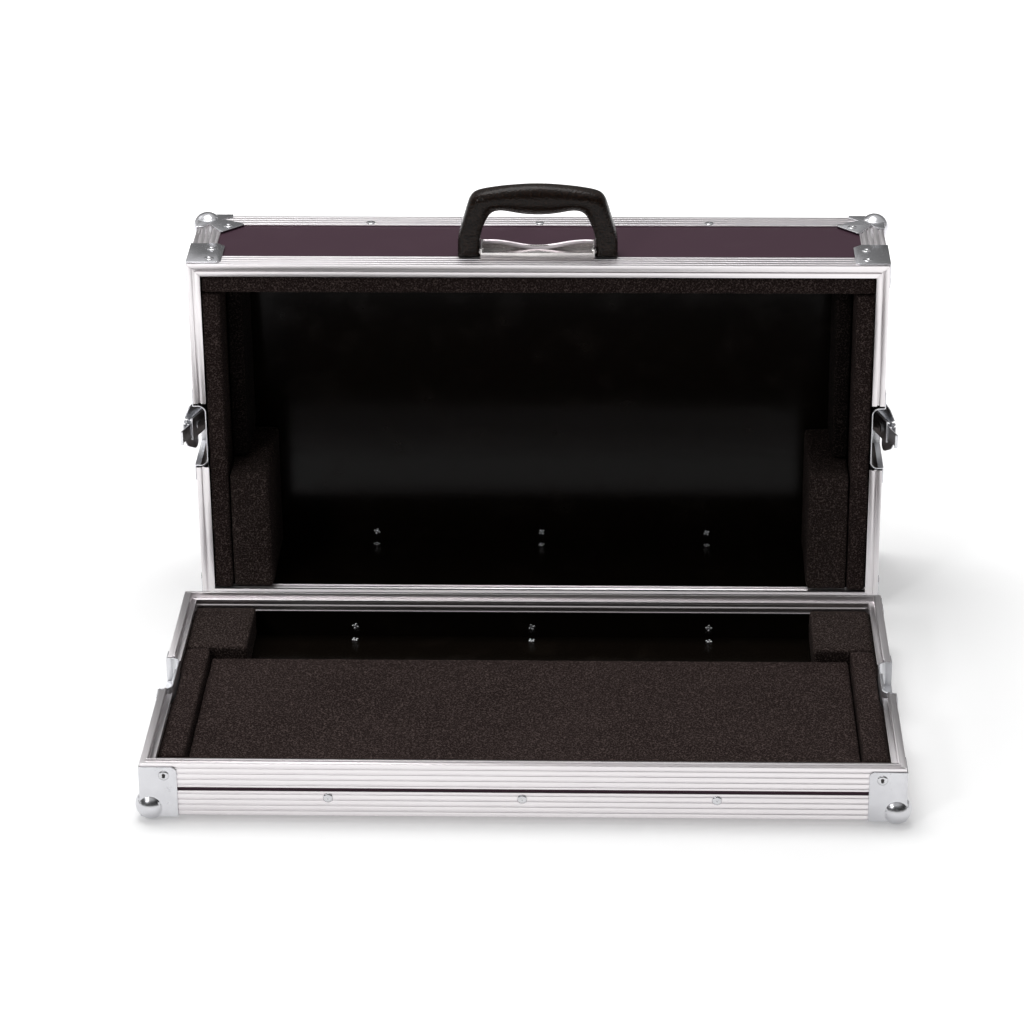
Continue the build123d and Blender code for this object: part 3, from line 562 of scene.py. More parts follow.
class Piece:
    """A finished mesh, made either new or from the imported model."""

    def __init__(self, name: str, mesh: bpy.types.Mesh) -> None:
        """Show a mesh under a name."""
        self.thing = bpy.data.objects.new(name, mesh)
        bpy.context.scene.collection.objects.link(self.thing)

    @classmethod
    def copy_of(cls, node: str, name: str) -> "Piece":
        """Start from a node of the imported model, its loose triangles joined.

        Args:
            node: the node's name.
            name: name of the new piece.

        Returns:
            The piece, which stands for the node.
        """
        shape = bmesh.new()
        shape.from_mesh(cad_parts[node].data)
        bmesh.ops.remove_doubles(shape, verts=shape.verts, dist=0.00001)
        bmesh.ops.dissolve_limit(
            shape, angle_limit=math.radians(0.6), verts=shape.verts, edges=shape.edges
        )
        bmesh.ops.recalc_face_normals(shape, faces=shape.faces)
        mesh = bpy.data.meshes.new(name)
        shape.to_mesh(mesh)
        shape.free()
        piece = cls(name, mesh)
        piece.replace(node)
        return piece

    def replace(self, *nodes: str) -> None:
        """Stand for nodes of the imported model."""
        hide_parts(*nodes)

    def smooth(self, angle: float = 32.0) -> "Piece":
        """Shade round, with edges sharper than an angle kept.

        Args:
            angle: the angle in degrees.

        Returns:
            The piece.
        """
        mesh = self.thing.data
        mesh.shade_smooth()
        mesh.set_sharp_from_angle(angle=math.radians(angle))
        return self

    def soften(self, width: float, segments: int = 2, angle: float = 35.0, hard: bool = False) -> "Piece":
        """Round every edge a little.

        Args:
            width: width of the rounding.
            segments: its number of steps.
            angle: edges flatter than this, in degrees, are left.
            hard: shade each face flat, for pieces with only flat faces.

        Returns:
            The piece.
        """
        bevel = self.thing.modifiers.new("edges", "BEVEL")
        bevel.width = width
        bevel.segments = segments
        bevel.limit_method = "ANGLE"
        bevel.angle_limit = math.radians(angle)
        bevel.use_clamp_overlap = False
        if hard:
            self.thing.data.shade_flat()
        else:
            bevel.harden_normals = True
            self.thing.data.shade_smooth()
        return self

    def remould(self, cell: float, rounds: int) -> "Piece":
        """Make the mesh anew from even cells and let its edges round off.

        Args:
            cell: size of a cell.
            rounds: how often the surface is relaxed; more makes rounder edges.

        Returns:
            The piece.
        """
        remesh = self.thing.modifiers.new("cells", "REMESH")
        remesh.mode = "VOXEL"
        remesh.voxel_size = cell
        relax = self.thing.modifiers.new("relax", "SMOOTH")
        relax.factor = 0.5
        relax.iterations = rounds
        bpy.context.view_layer.update()
        ready = self.thing.evaluated_get(bpy.context.evaluated_depsgraph_get())
        mesh = bpy.data.meshes.new_from_object(ready)
        self.thing.modifiers.clear()
        self.thing.data = mesh
        mesh.shade_smooth()
        return self

    def finish(self, finish: Finish, slot: str) -> "Piece":
        """Give the piece one finish.

        Args:
            finish: the finish.
            slot: the material slot of the record that it comes from; not used.

        Returns:
            The piece.
        """
        self.thing.data.materials.clear()
        self.thing.data.materials.append(finish.material())
        return self

    def ride(self, body: str) -> "Piece":
        """Move with a body.

        Args:
            body: the body's name.

        Returns:
            The piece.
        """
        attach(self.thing, body)
        log.info("%s rides on %s, %d faces", self.thing.name, body, len(self.thing.data.polygons))
        return self


@dataclass
class Boards:
    """The laminated plywood of one half."""

    half: Half
    names: tuple[str, ...]
    edge: float = 0.0003

    def build(self) -> None:
        """Make each board, satin outside and glossy inside."""
        for name in self.names:
            board = Piece.copy_of(name, f"{name}_board")
            board.finish(PALETTE.outside, "laminate")
            board.thing.data.materials.append(PALETTE.inside.material())
            self._face_inward(board.thing.data)
            board.soften(self.edge, hard=True).ride(self.half.body.value)

    def _face_inward(self, mesh: bpy.types.Mesh) -> None:
        """Give the glossy film to the faces that look at the half's middle.

        Args:
            mesh: the board's mesh, with both films in its slots.
        """
        middle = self.half.centre()
        for polygon in mesh.polygons:
            inward = polygon.normal.dot(middle - polygon.center) > 0
            polygon.material_index = (Face.INSIDE if inward else Face.OUTSIDE).value


@dataclass
class Profiles:
    """The drawn aluminium of one half: edge angles and closing profiles."""

    half: Half
    runs: Mapping[str, Run]
    edge: float = 0.00022
    groove_depths: tuple[float, float] = (0.0001, 0.0005)

    def build(self) -> None:
        """Make each profile with its lines along it."""
        finishes = {Run.ACROSS: PALETTE.across, Run.DEEP: PALETTE.deep, Run.UP: PALETTE.up}
        for name, run in self.runs.items():
            profile = Piece.copy_of(name, f"{name}_profile")
            profile.finish(finishes[run], "aluminium")
            # Second slot: painted shade for the grooves.
            profile.thing.data.materials.append(PALETTE.groove_shade.material())
            self._paint_groove_shade(profile.thing.data)
            profile.soften(self.edge).ride(self.half.body.value)

    def _paint_groove_shade(self, mesh: bpy.types.Mesh) -> None:
        """Give the grooves of the outer faces a darker, rougher finish: painted shade in the grooves.

        Args:
            mesh: the profile's mesh, with the painted groove shade in its second slot.
        """
        to_half = self.half.place.inverted()
        for polygon in mesh.polygons:
            spot = to_half @ polygon.center
            depth = min(self.half.width / 2 - abs(spot.x), self.half.depth / 2 - abs(spot.y), spot.z)
            polygon.material_index = int(self.groove_depths[0] < depth < self.groove_depths[1])


@dataclass
class Corners:
    """Pressed steel corners and braces of one half."""

    half: Half
    names: tuple[str, ...]
    edge: float = 0.00035

    def build(self) -> None:
        """Make each set of corners."""
        for name in self.names:
            corner = Piece.copy_of(name, f"{name}_steel")
            corner.finish(PALETTE.corner, "corner_steel").soften(self.edge).ride(self.half.body.value)


@dataclass
class Tree:
    """A Geometry Nodes tree that stands one fastener on each point of a mesh."""

    name: str
    inputs: Mapping[str, float]
    bench: Bench = field(init=False)

    def __post_init__(self) -> None:
        """Start the tree with its named inputs."""
        group = bpy.data.node_groups.new(self.name, "GeometryNodeTree")
        group.interface.new_socket("Points", in_out="INPUT", socket_type="NodeSocketGeometry")
        for name in self.inputs:
            group.interface.new_socket(name, in_out="INPUT", socket_type="NodeSocketFloat")
        for name in ("Finish", "Hollow Painted Shade"):
            group.interface.new_socket(name, in_out="INPUT", socket_type="NodeSocketMaterial")
        group.interface.new_socket("Fasteners", in_out="OUTPUT", socket_type="NodeSocketGeometry")
        self.bench = Bench(group)
        self.entry = self.bench.node("NodeGroupInput")

    def size(self, name: str) -> Wire:
        """One named input."""
        return Wire(self.bench, self.entry.outputs[name])

    def stand(self, fastener: bpy.types.NodeSocket) -> None:
        """Stand a fastener on every point, along the point's axis, with a seeded turn.

        Args:
            fastener: the geometry of one fastener, its axis along z.
        """
        bench = self.bench
        axis = bench.wire("GeometryNodeInputNamedAttribute", {"data_type": "FLOAT_VECTOR"}, {"Name": "axis"})
        turn = bench.node(
            "FunctionNodeRandomValue", {"data_type": "FLOAT"}, {"Min": 0.0, "Max": math.tau, "Seed": 7}
        )
        spin = bench.wire("ShaderNodeCombineXYZ", None, {"Z": Wire(bench, turn.outputs[1])})
        aim = bench.wire("FunctionNodeAlignRotationToVector", {"axis": "Z"}, {"Vector": axis})
        rotation = bench.wire(
            "FunctionNodeRotateRotation", {"rotation_space": "LOCAL"}, {"Rotation": aim, "Rotate By": spin}
        )
        copies = bench.wire(
            "GeometryNodeInstanceOnPoints",
            None,
            {"Points": self.entry.outputs["Points"], "Instance": fastener, "Rotation": rotation},
        )
        solid = bench.wire("GeometryNodeRealizeInstances", None, {"Geometry": copies})
        smooth = bench.wire("GeometryNodeSetShadeSmooth", None, {"Geometry": solid})
        dressed = bench.wire(
            "GeometryNodeSetMaterial", None, {"Geometry": smooth, "Material": self.entry.outputs["Finish"]}
        )
        # Faces marked as the hollow take the painted shade of the hollow.
        hollow = bench.wire("GeometryNodeInputNamedAttribute", {"data_type": "BOOLEAN"}, {"Name": "hollow"})
        lined = bench.wire(
            "GeometryNodeSetMaterial",
            None,
            {"Geometry": dressed, "Selection": hollow, "Material": self.entry.outputs["Hollow Painted Shade"]},
        )
        bench.node("NodeGroupOutput", None, {"Fasteners": lined})

    def grow(
        self, name: str, places: Sequence[Matrix], finish: Finish, sizes: Mapping[str, float] | None = None
    ) -> Piece:
        """Make the fasteners as one plain mesh.

        Args:
            name: name of the piece.
            places: frame of each fastener, its axis along z.
            finish: the finish.
            sizes: named inputs that differ from the tree's own.

        Returns:
            The piece.
        """
        cloud = bpy.data.meshes.new(f"{name}_points")
        cloud.from_pydata([place.translation for place in places], [], [])
        axes = cloud.attributes.new("axis", "FLOAT_VECTOR", "POINT")
        for entry, place in zip(axes.data, places):
            entry.vector = place.col[2].xyz
        carrier = bpy.data.objects.new(f"{name}_carrier", cloud)
        bpy.context.scene.collection.objects.link(carrier)
        growth = carrier.modifiers.new("fasteners", "NODES")
        growth.node_group = self.bench.tree
        finishes = {"Finish": finish.material(), "Hollow Painted Shade": PALETTE.hollow.material()}
        wanted = {**self.inputs, **(sizes or {}), **finishes}
        for item in self.bench.tree.interface.items_tree:
            if item.in_out == "INPUT" and item.name in wanted:
                growth[item.identifier] = wanted[item.name]
        bpy.context.view_layer.update()
        ready = carrier.evaluated_get(bpy.context.evaluated_depsgraph_get())
        mesh = bpy.data.meshes.new_from_object(ready)
        mesh.name = name
        carrier.modifiers.clear()
        bpy.data.objects.remove(carrier)
        return Piece(name, mesh)


@dataclass
class Rivets:
    """The rivets of one half: hollow heads outside, and spread ends where the inside is bare."""

    half: Half
    bare_side: int
    long_pitches: tuple[float, float]
    corner_rivets: tuple[tuple[float, float], ...]
    head_radius: float = 0.0049
    head_height: float = 0.0012
    hollow_radius: float = 0.0019
    inset: float = 0.019
    short_pitch: float = 0.110
    lobe: float = 0.032
    plate: float = 0.0012
    wall: float = 0.0085
    domed: Mapping[str, float] = field(default_factory=lambda: {"Hollow Radius": 0.00005, "Head Radius": 0.0046})

    def heads(self) -> list[Matrix]:
        """Frames of the heads in the edge angles, axes outward.

        Returns:
            The frames.
        """
        places = []
        for number in range(4):
            frame_here = self.half.side(number)
            for along in self._stations(number):
                on_wall = Matrix.Translation((along, 0, self.inset)) @ Matrix.Rotation(math.pi / 2, 4, "X")
                on_panel = Matrix.Translation((along, self.inset, 0)) @ Matrix.Rotation(math.pi, 4, "X")
                places += [frame_here @ on_wall, frame_here @ on_panel]
        return places

    def ends(self) -> list[Matrix]:
        """Frames of the spread ends on the bare side, axes inward.

        Returns:
            The frames.
        """
        places = []
        frame_here = self.half.side(self.bare_side)
        for along in self._stations(self.bare_side):
            on_wall = Matrix.Translation((along, self.wall, self.inset)) @ Matrix.Rotation(-math.pi / 2, 4, "X")
            on_panel = Matrix.Translation((along, self.inset, self.wall))
            places += [frame_here @ on_wall, frame_here @ on_panel]
        return places

    def corner_heads(self, spots: Sequence[tuple[float, float]]) -> list[Matrix]:
        """Frames of rivets on both wall plates of all four corners.

        Args:
            spots: distance from the corner and height of each rivet.

        Returns:
            The frames, axes outward.
        """
        places = []
        half_x, half_y = self.half.width / 2, self.half.depth / 2
        for x_sign in (-1, 1):
            for y_sign in (-1, 1):
                for side, up in spots:
                    on_x = Matrix.Translation((x_sign * (half_x + self.plate), y_sign * (half_y - side), up))
                    on_y = Matrix.Translation((x_sign * (half_x - side), y_sign * (half_y + self.plate), up))
                    places.append(self.half.place @ on_x @ Matrix.Rotation(x_sign * math.pi / 2, 4, "Y"))
                    places.append(self.half.place @ on_y @ Matrix.Rotation(-y_sign * math.pi / 2, 4, "X"))
        return places

    def panel_heads(self) -> list[Matrix]:
        """Frames of the rivets in the ball corners' plates on the big panel.

        Returns:
            The frames.
        """
        half_x, half_y = self.half.width / 2 - self.lobe, self.half.depth / 2 - self.lobe
        turn = Matrix.Rotation(math.pi, 4, "X")
        return [
            self.half.place @ Matrix.Translation((x_sign * half_x, y_sign * half_y, -self.plate)) @ turn
            for x_sign in (-1, 1)
            for y_sign in (-1, 1)
        ]

    def head_tree(self) -> Tree:
        """Tree of a domed head with a hollow in its middle.

        Returns:
            The tree.
        """
        sizes = {
            "Head Radius": self.head_radius,
            "Head Height": self.head_height,
            "Hollow Radius": self.hollow_radius,
        }
        tree = Tree("rivet_heads", sizes)
        bench = tree.bench
        blank = bench.wire(
            "GeometryNodeMeshCylinder",
            {"fill_type": "TRIANGLE_FAN"},
            {
                "Vertices": 18,
                "Side Segments": 1,
                "Fill Segments": 6,
                "Radius": tree.size("Head Radius"),
                "Depth": tree.size("Head Height"),
            },
        )
        here = bench.wire("GeometryNodeInputPosition")
        split = bench.node("ShaderNodeSeparateXYZ", None, {"Vector": here})
        x, y, z = (Wire(bench, split.outputs[number]) for number in range(3))
        out = (x * x + y * y).root()
        share = out / tree.size("Head Radius")
        dome = (1.0 - share * share).at_least(0.0).root() * 0.75 + 0.25
        rim = (out / tree.size("Hollow Radius")).ramp(0.92, 1.25)
        rise = (rim * dome + (1.0 - rim) * 0.12) * tree.size("Head Height")
        raised = bench.wire("ShaderNodeCombineXYZ", None, {"X": x, "Y": y, "Z": rise})
        shaped = bench.wire(
            "GeometryNodeSetPosition", None, {"Geometry": blank, "Selection": z > 0.0, "Position": raised}
        )
        # Faces within the hollow radius are marked for the painted shade.
        marked = bench.wire(
            "GeometryNodeStoreNamedAttribute",
            {"data_type": "BOOLEAN", "domain": "FACE"},
            {"Geometry": shaped, "Name": "hollow", "Value": tree.size("Hollow Radius") > out},
        )
        tree.stand(marked.socket)
        return tree

    def end_tree(self) -> Tree:
        """Tree of a split end: four curled petals round a short tube.

        Returns:
            The tree.
        """
        tree = Tree("rivet_ends", {"Ring Radius": 0.0025, "Petal Radius": 0.0015, "Tube Radius": 0.0021})
        bench = tree.bench
        ring = bench.wire(
            "GeometryNodeMeshCircle", {"fill_type": "NONE"}, {"Vertices": 4, "Radius": tree.size("Ring Radius")}
        )
        petal = bench.wire(
            "GeometryNodeMeshUVSphere", None, {"Segments": 10, "Rings": 7, "Radius": tree.size("Petal Radius")}
        )
        flat = bench.wire("GeometryNodeTransform", None, {"Geometry": petal, "Scale": (1.0, 1.0, 0.75)})
        petals = bench.wire("GeometryNodeInstanceOnPoints", None, {"Points": ring, "Instance": flat})
        raised = bench.wire("GeometryNodeTransform", None, {"Geometry": petals, "Translation": (0, 0, 0.0008)})
        tube = bench.wire(
            "GeometryNodeMeshCylinder",
            None,
            {"Vertices": 12, "Side Segments": 1, "Radius": tree.size("Tube Radius"), "Depth": 0.0016},
        )
        join = bench.node("GeometryNodeJoinGeometry")
        for part in (raised, tube):
            bench.tree.links.new(part.socket, join.inputs[0])
        tree.stand(join.outputs[0])
        return tree

    def _stations(self, number: int) -> tuple[float, ...]:
        """Places of the rivets along one side.

        Args:
            number: the side.

        Returns:
            Distances from the side's middle.
        """
        if number % 2:
            return (-self.short_pitch, self.short_pitch)
        pitch = self.long_pitches[number // 2]
        return (-pitch, 0.0, pitch)


@dataclass
class BaseRivets(Rivets):
    """Rivets of the tray."""

    def build(self) -> None:
        """Make all heads and spread ends of the tray."""
        tree = self.head_tree()
        heads = tree.grow("base_rivet_heads", self.heads(), PALETTE.rivet, self.domed)
        heads.replace("base_rivets")
        on_corners = self.corner_heads(self.corner_rivets) + self.panel_heads()
        corners = tree.grow("base_corner_rivet_heads", on_corners, PALETTE.rivet)
        ends = self.end_tree().grow("base_rivet_ends", self.ends(), PALETTE.rivet)
        for piece in (heads, corners, ends):
            piece.ride(self.half.body.value)


@dataclass
class LidRivets(Rivets):
    """Rivets of the lid, those of its rim braces apart."""

    def build(self) -> None:
        """Make all heads and spread ends of the lid."""
        tree = self.head_tree()
        heads = tree.grow("lid_rivet_heads", self.heads(), PALETTE.rivet, self.domed)
        heads.replace("lid_rivets")
        on_lobes = self.corner_heads([(self.lobe, self.lobe)]) + self.panel_heads()
        lobes = tree.grow("lid_corner_rivet_heads", on_lobes, PALETTE.rivet)
        braces = tree.grow("lid_brace_rivet_heads", self.corner_heads(self.corner_rivets), PALETTE.rivet)
        braces.replace("lid_brace_rivets")
        ends = self.end_tree().grow("lid_rivet_ends", self.ends(), PALETTE.rivet)
        for piece in (heads, lobes, braces, ends):
            piece.ride(self.half.body.value)


@dataclass
class Lining:
    """Foam pieces of one half, cut from sheet and glued in."""

    half: Half
    sheets: tuple[str, ...]
    blocks: tuple[str, ...]
    pads: tuple[str, ...] = ()
    cell: float = 0.0034
    shrink: float = 0.0005
    unevenness: float = 0.00035
    fill: float = 1.0

    def build(self) -> None:
        """Make each foam piece."""
        for name in self.sheets:
            self._cut(name, PALETTE.foam)
        for name in self.blocks:
            self._cut(name, PALETTE.block_foam)
        # The side pads take the darker foam, whose darkness is painted shade.
        for name in self.pads:
            self._cut(name, PALETTE.pad_foam_painted_shade)

    def _cut(self, node: str, finish: Finish) -> None:
        """Make one foam piece with soft, slightly uneven edges.

        Args:
            node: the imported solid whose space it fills.
            finish: its finish.
        """
        foam = Piece.copy_of(node, f"{node}_lining").remould(self.cell, 2)
        self._roughen(foam.thing.data)
        foam.finish(finish, "foam")
        foam.ride(self.half.body.value)

    def _roughen(self, mesh: bpy.types.Mesh) -> None:
        """Draw the surface in a little and make it uneven.

        Args:
            mesh: the foam's mesh.
        """
        moved = []
        for vertex in mesh.vertices:
            wander = noise.noise(vertex.co * 55.0) + 0.6 * noise.noise(vertex.co * 190.0)
            moved.append(vertex.co - vertex.normal * (self.shrink + self.unevenness * wander))
        for vertex, place in zip(mesh.vertices, moved):
            vertex.co = place


def on_lid_top(x: float, high: float, deep: float) -> Vector:
    """Place of a point on the lid's upper wall.

    Args:
        x: distance to the right of the middle.
        high: height above the wall.
        deep: distance behind the rim.

    Returns:
        The place in the frame of the model.
    """
    return LID.place @ Vector((x, LID.depth / 2 + high, LID.height - deep))


@dataclass
class Grip:
    """Moulded handle, swept through pairs of outer and inner points of its right half, in millimetres."""

    outer: tuple[tuple[float, float], ...] = (
        (80.0, 0.4), (80.0, 1.2), (80.0, 2.6), (80.0, 4.4), (80.0, 7.0), (80.0, 12.0), (79.7, 18.0), (78.2, 25.0),
        (75.7, 34.0), (72.8, 44.0), (70.2, 53.0), (67.7, 60.0), (63.4, 65.4), (56.5, 68.4), (47.0, 70.4),
        (36.0, 72.1), (24.0, 73.4), (12.0, 74.3), (0.0, 74.6),
    )
    inner: tuple[tuple[float, float], ...] = (
        (57.5, 0.4), (57.5, 1.2), (57.5, 2.6), (57.5, 4.4), (57.5, 7.0), (57.5, 12.0), (57.2, 18.0), (56.0, 25.0),
        (54.0, 31.5), (51.6, 37.2), (49.2, 41.6), (46.6, 44.6), (43.4, 46.6), (39.8, 47.6), (35.6, 47.8),
        (29.6, 47.0), (21.0, 45.3), (11.0, 43.9), (0.0, 43.4),
    )
    middle_depth: float = 0.0305
    half_depth: float = 0.0125
    pivot: tuple[float, float] = (0.006, 0.024)
    toe: float = 0.0056
    foot_power: float = 4.2
    grip_power: float = 2.25
    foot_end: float = 0.020
    grip_start: float = 0.060
    around: int = 44
    steps: int = 4
    bore: float = 0.00306
    bore_reach: float = 0.0715

    def build(self) -> None:
        """Sweep the handle, close its feet and bore them for the pins."""
        rings = self._rings()
        mesh = bpy.data.meshes.new("handle_moulding")
        count = self.around
        faces = [
            (ring * count + spot, ring * count + (spot + 1) % count,
             (ring + 1) * count + (spot + 1) % count, (ring + 1) * count + spot)
            for ring in range(len(rings) - 1)
            for spot in range(count)
        ]
        last = (len(rings) - 1) * count
        faces += [tuple(reversed(range(count))), tuple(range(last, last + count))]
        mesh.from_pydata([point for ring in rings for point in ring], [], faces)
        grip = Piece("handle_moulding", mesh)
        self._bore_feet(grip)
        grip.smooth(50.0).finish(PALETTE.plastic, "handle_plastic").ride(Body.HANDLE.value)
        grip.replace("handle")

    def _rings(self) -> list[list[Vector]]:
        """Cross sections from the left foot over the arch to the right foot.

        Returns:
            The points of each section.
        """
        pairs = [(Vector(out), Vector(into)) for out, into in zip(self.outer, self.inner)]
        mirrored = [(Vector((-out.x, out.y)), Vector((-into.x, into.y))) for out, into in pairs]
        stations = mirrored + pairs[-2::-1]
        rings = []
        for number in range(len(stations) - 1):
            for step in range(self.steps):
                rings.append(self._ring(stations, number, step / self.steps))
        rings.append(self._ring(stations, len(stations) - 2, 1.0))
        return rings

    def _ring(self, stations: Sequence[tuple[Vector, Vector]], number: int, share: float) -> list[Vector]:
        """One cross section, rounder the higher it lies.

        Args:
            stations: outer and inner points.
            number: station before it.
            share: share of the way to the next station.

        Returns:
            The points of the section.
        """
        near = [stations[min(max(number + shift, 0), len(stations) - 1)] for shift in (-1, 0, 1, 2)]
        out, into = (self._between([pair[side] for pair in near], share) * 0.001 for side in (0, 1))
        middle, reach = (out + into) / 2, (out - into) / 2
        rise = (middle.y - self.foot_end) / (self.grip_start - self.foot_end)
        power = self.foot_power + (self.grip_power - self.foot_power) * min(max(rise, 0.0), 1.0)
        points = []
        for spot in range(self.around):
            angle = math.tau * spot / self.around
            along = math.copysign(abs(math.cos(angle)) ** (2 / power), math.cos(angle))
            across = math.copysign(abs(math.sin(angle)) ** (2 / power), math.sin(angle))
            flat = middle + reach * along
            deep = max(self.middle_depth + self.half_depth * across, self._front(flat.y))
            points.append(on_lid_top(flat.x, flat.y, deep))
        return points

    def _front(self, high: float) -> float:
        """Least depth of the foot, which is rounded about its pin.

        Args:
            high: height above the lid's wall.

        Returns:
            The depth behind the rim.
        """
        if high >= self.pivot[0]:
            return 0.0
        return self.pivot[1] - math.sqrt(max(self.toe**2 - (self.pivot[0] - high) ** 2, 0.0))

    @staticmethod
    def _between(points: Sequence[Vector], share: float) -> Vector:
        """Point of the smooth curve through four points, between the two middle ones.

        Args:
            points: the four points.
            share: share of the way.

        Returns:
            The point.
        """
        first, second, third, fourth = points
        pull, push = (third - first) / 2, (fourth - second) / 2
        square, cube = share**2, share**3
        ends = second * (2 * cube - 3 * square + 1) + third * (3 * square - 2 * cube)
        return ends + pull * (cube - 2 * square + share) + push * (cube - square)

    def _bore_feet(self, grip: Piece) -> None:
        """Bore both feet for the pins.

        Args:
            grip: the handle.
        """
        shape = bmesh.new()
        turn = Matrix.Rotation(math.pi / 2, 4, "Y")
        place = Matrix.Translation(on_lid_top(0.0, *self.pivot)) @ turn
        bmesh.ops.create_cone(
            shape, cap_ends=True, segments=32, radius1=self.bore, radius2=self.bore,
            depth=2 * self.bore_reach, matrix=place,
        )
        mesh = bpy.data.meshes.new("drill")
        shape.to_mesh(mesh)
        shape.free()
        drill = bpy.data.objects.new("drill", mesh)
        bpy.context.scene.collection.objects.link(drill)
        cut = grip.thing.modifiers.new("bore", "BOOLEAN")
        cut.operation = "DIFFERENCE"
        cut.object = drill
        bpy.context.view_layer.update()
        ready = grip.thing.evaluated_get(bpy.context.evaluated_depsgraph_get())
        grip.thing.data = bpy.data.meshes.new_from_object(ready)
        grip.thing.modifiers.clear()
        bpy.data.objects.remove(drill)


@dataclass
class Bracket:
    """Pressed bracket between the handle's feet, with the rolled edge of its scooped rear lip."""

    edge: float = 0.0003
    half: float = 0.0569
    rear: float = 0.0425
    bead: tuple[float, float] = (0.0028, 0.0008)
    slant: float = 45.0
    shoulder: float = 0.046
    heights: tuple[float, float] = (0.0027, 0.0090)
    steps: int = 48
    around: int = 16

    def build(self) -> None:
        """Make the bracket, its rolled edge and the pins."""
        pressing = Piece.copy_of("handle_bracket", "handle_bracket_pressing")
        pressing.finish(PALETTE.bright, "bracket_steel").soften(self.edge).ride(Body.LID.value)
        pins = Piece.copy_of("handle_pins", "handle_pins_turned")
        pins.finish(PALETTE.bright, "bracket_steel").soften(self.edge).ride(Body.LID.value)
        self._roll_edge()

    def _roll_edge(self) -> None:
        """Lay the rolled edge along the lip, level at its shoulders and low in its middle."""
        wide, thick = self.bead
        rise, run = math.sin(math.radians(self.slant)), math.cos(math.radians(self.slant))
        points = []
        for step in range(self.steps + 1):
            x = self.half * (2 * step / self.steps - 1)
            share = min(abs(x) / self.shoulder, 1.0)
            share = share * share * (3 - 2 * share)
            level = self.heights[0] + (self.heights[1] - self.heights[0]) * share
            for spot in range(self.around):
                angle = math.tau * spot / self.around
                along = wide * (1.0 - 0.2 * share) * math.cos(angle)
                across = thick * math.sin(angle)
                high = level + along * rise + across * run
                points.append(on_lid_top(x, high, self.rear + along * run - across * rise))
        count = self.around
        faces = [
            (ring * count + spot, ring * count + (spot + 1) % count,
             (ring + 1) * count + (spot + 1) % count, (ring + 1) * count + spot)
            for ring in range(self.steps)
            for spot in range(count)
        ]
        last = self.steps * count
        faces += [tuple(reversed(range(count))), tuple(range(last, last + count))]
        mesh = bpy.data.meshes.new("handle_bracket_rolled_edge")
        mesh.from_pydata(points, [], faces)
        bead = Piece("handle_bracket_rolled_edge", mesh).smooth(50.0)
        bead.finish(PALETTE.satin, "bracket_steel").ride(Body.LID.value)


@dataclass
class DrawLatch:
    """Recessed butterfly latch of one side of the lid."""

    side: str
    edge: float = 0.0002
    recess_depth: float = 0.0012
    facing: float = 0.5

    def build(self) -> None:
        """Make the dish and all moving pieces."""
        dish = Piece.copy_of(f"{self.side}_latch_dish", f"{self.side}_latch_dish_pressing")
        dish.finish(PALETTE.latch, "latch_steel")
        # Second slot: painted shade and painted dark reflection for the recessed faces.
        dish.thing.data.materials.append(PALETTE.recess_shade.material())
        self._paint_recess_shade(dish.thing.data)
        dish.soften(self.edge).ride(Body.LID.value)
        moving = {
            "latch_arm": "arm",
            "latch_hook": "hook",
            "latch_rotor": "rotor",
            "latch_upper_wing": "upper_wing",
            "latch_lower_wing": "lower_wing",
        }
        for node, body in moving.items():
            piece = Piece.copy_of(f"{self.side}_{node}", f"{self.side}_{node}_steel")
            piece.finish(PALETTE.latch, "latch_steel").soften(self.edge).ride(f"{self.side}_{body}")


    def _paint_recess_shade(self, mesh: bpy.types.Mesh) -> None:
        """Give the recessed faces a dark finish: painted shade and painted dark reflection on the zinc plate.

        Args:
            mesh: the dish's mesh, with the painted shade in its second slot.
        """
        to_half = LID.place.inverted()
        for polygon in mesh.polygons:
            spot = to_half @ polygon.center
            deep = LID.width / 2 - abs(spot.x) > self.recess_depth
            toward_rim = (to_half.to_3x3() @ polygon.normal).z > self.facing
            polygon.material_index = int(deep and not toward_rim)


@dataclass
class LatchPins:
    """Pins that the latch arms swing on."""

    edge: float = 0.0002

    def build(self) -> None:
        """Make both pins."""
        pins = Piece.copy_of("latch_pins", "latch_pins_turned")
        pins.finish(PALETTE.latch, "latch_steel").soften(self.edge).ride(Body.LID.value)


@dataclass
class Catches:
    """Catch dishes in the tray's side walls."""

    edge: float = 0.0002

    def build(self) -> None:
        """Make both dishes with their keepers."""
        for side in ("right", "left"):
            dish = Piece.copy_of(f"base_{side}_catch", f"base_{side}_catch_pressing")
            dish.finish(PALETTE.latch, "latch_steel").soften(self.edge).ride(Body.BASE.value)


@dataclass(frozen=True)
class Lamp:
    """A soft square lamp."""

    name: str
    place: Point
    aim: Point
    size: float
    power: float

    def hang(self) -> None:
        """Hang the lamp."""
        data = bpy.data.lights.new(self.name, "AREA")
        data.shape = "SQUARE"
        data.size = self.size
        data.energy = self.power
        lamp = bpy.data.objects.new(self.name, data)
        lamp.location = self.place
        lamp.rotation_euler = (Vector(self.aim) - Vector(self.place)).to_track_quat("-Z", "Y").to_euler()
        bpy.context.scene.collection.objects.link(lamp)


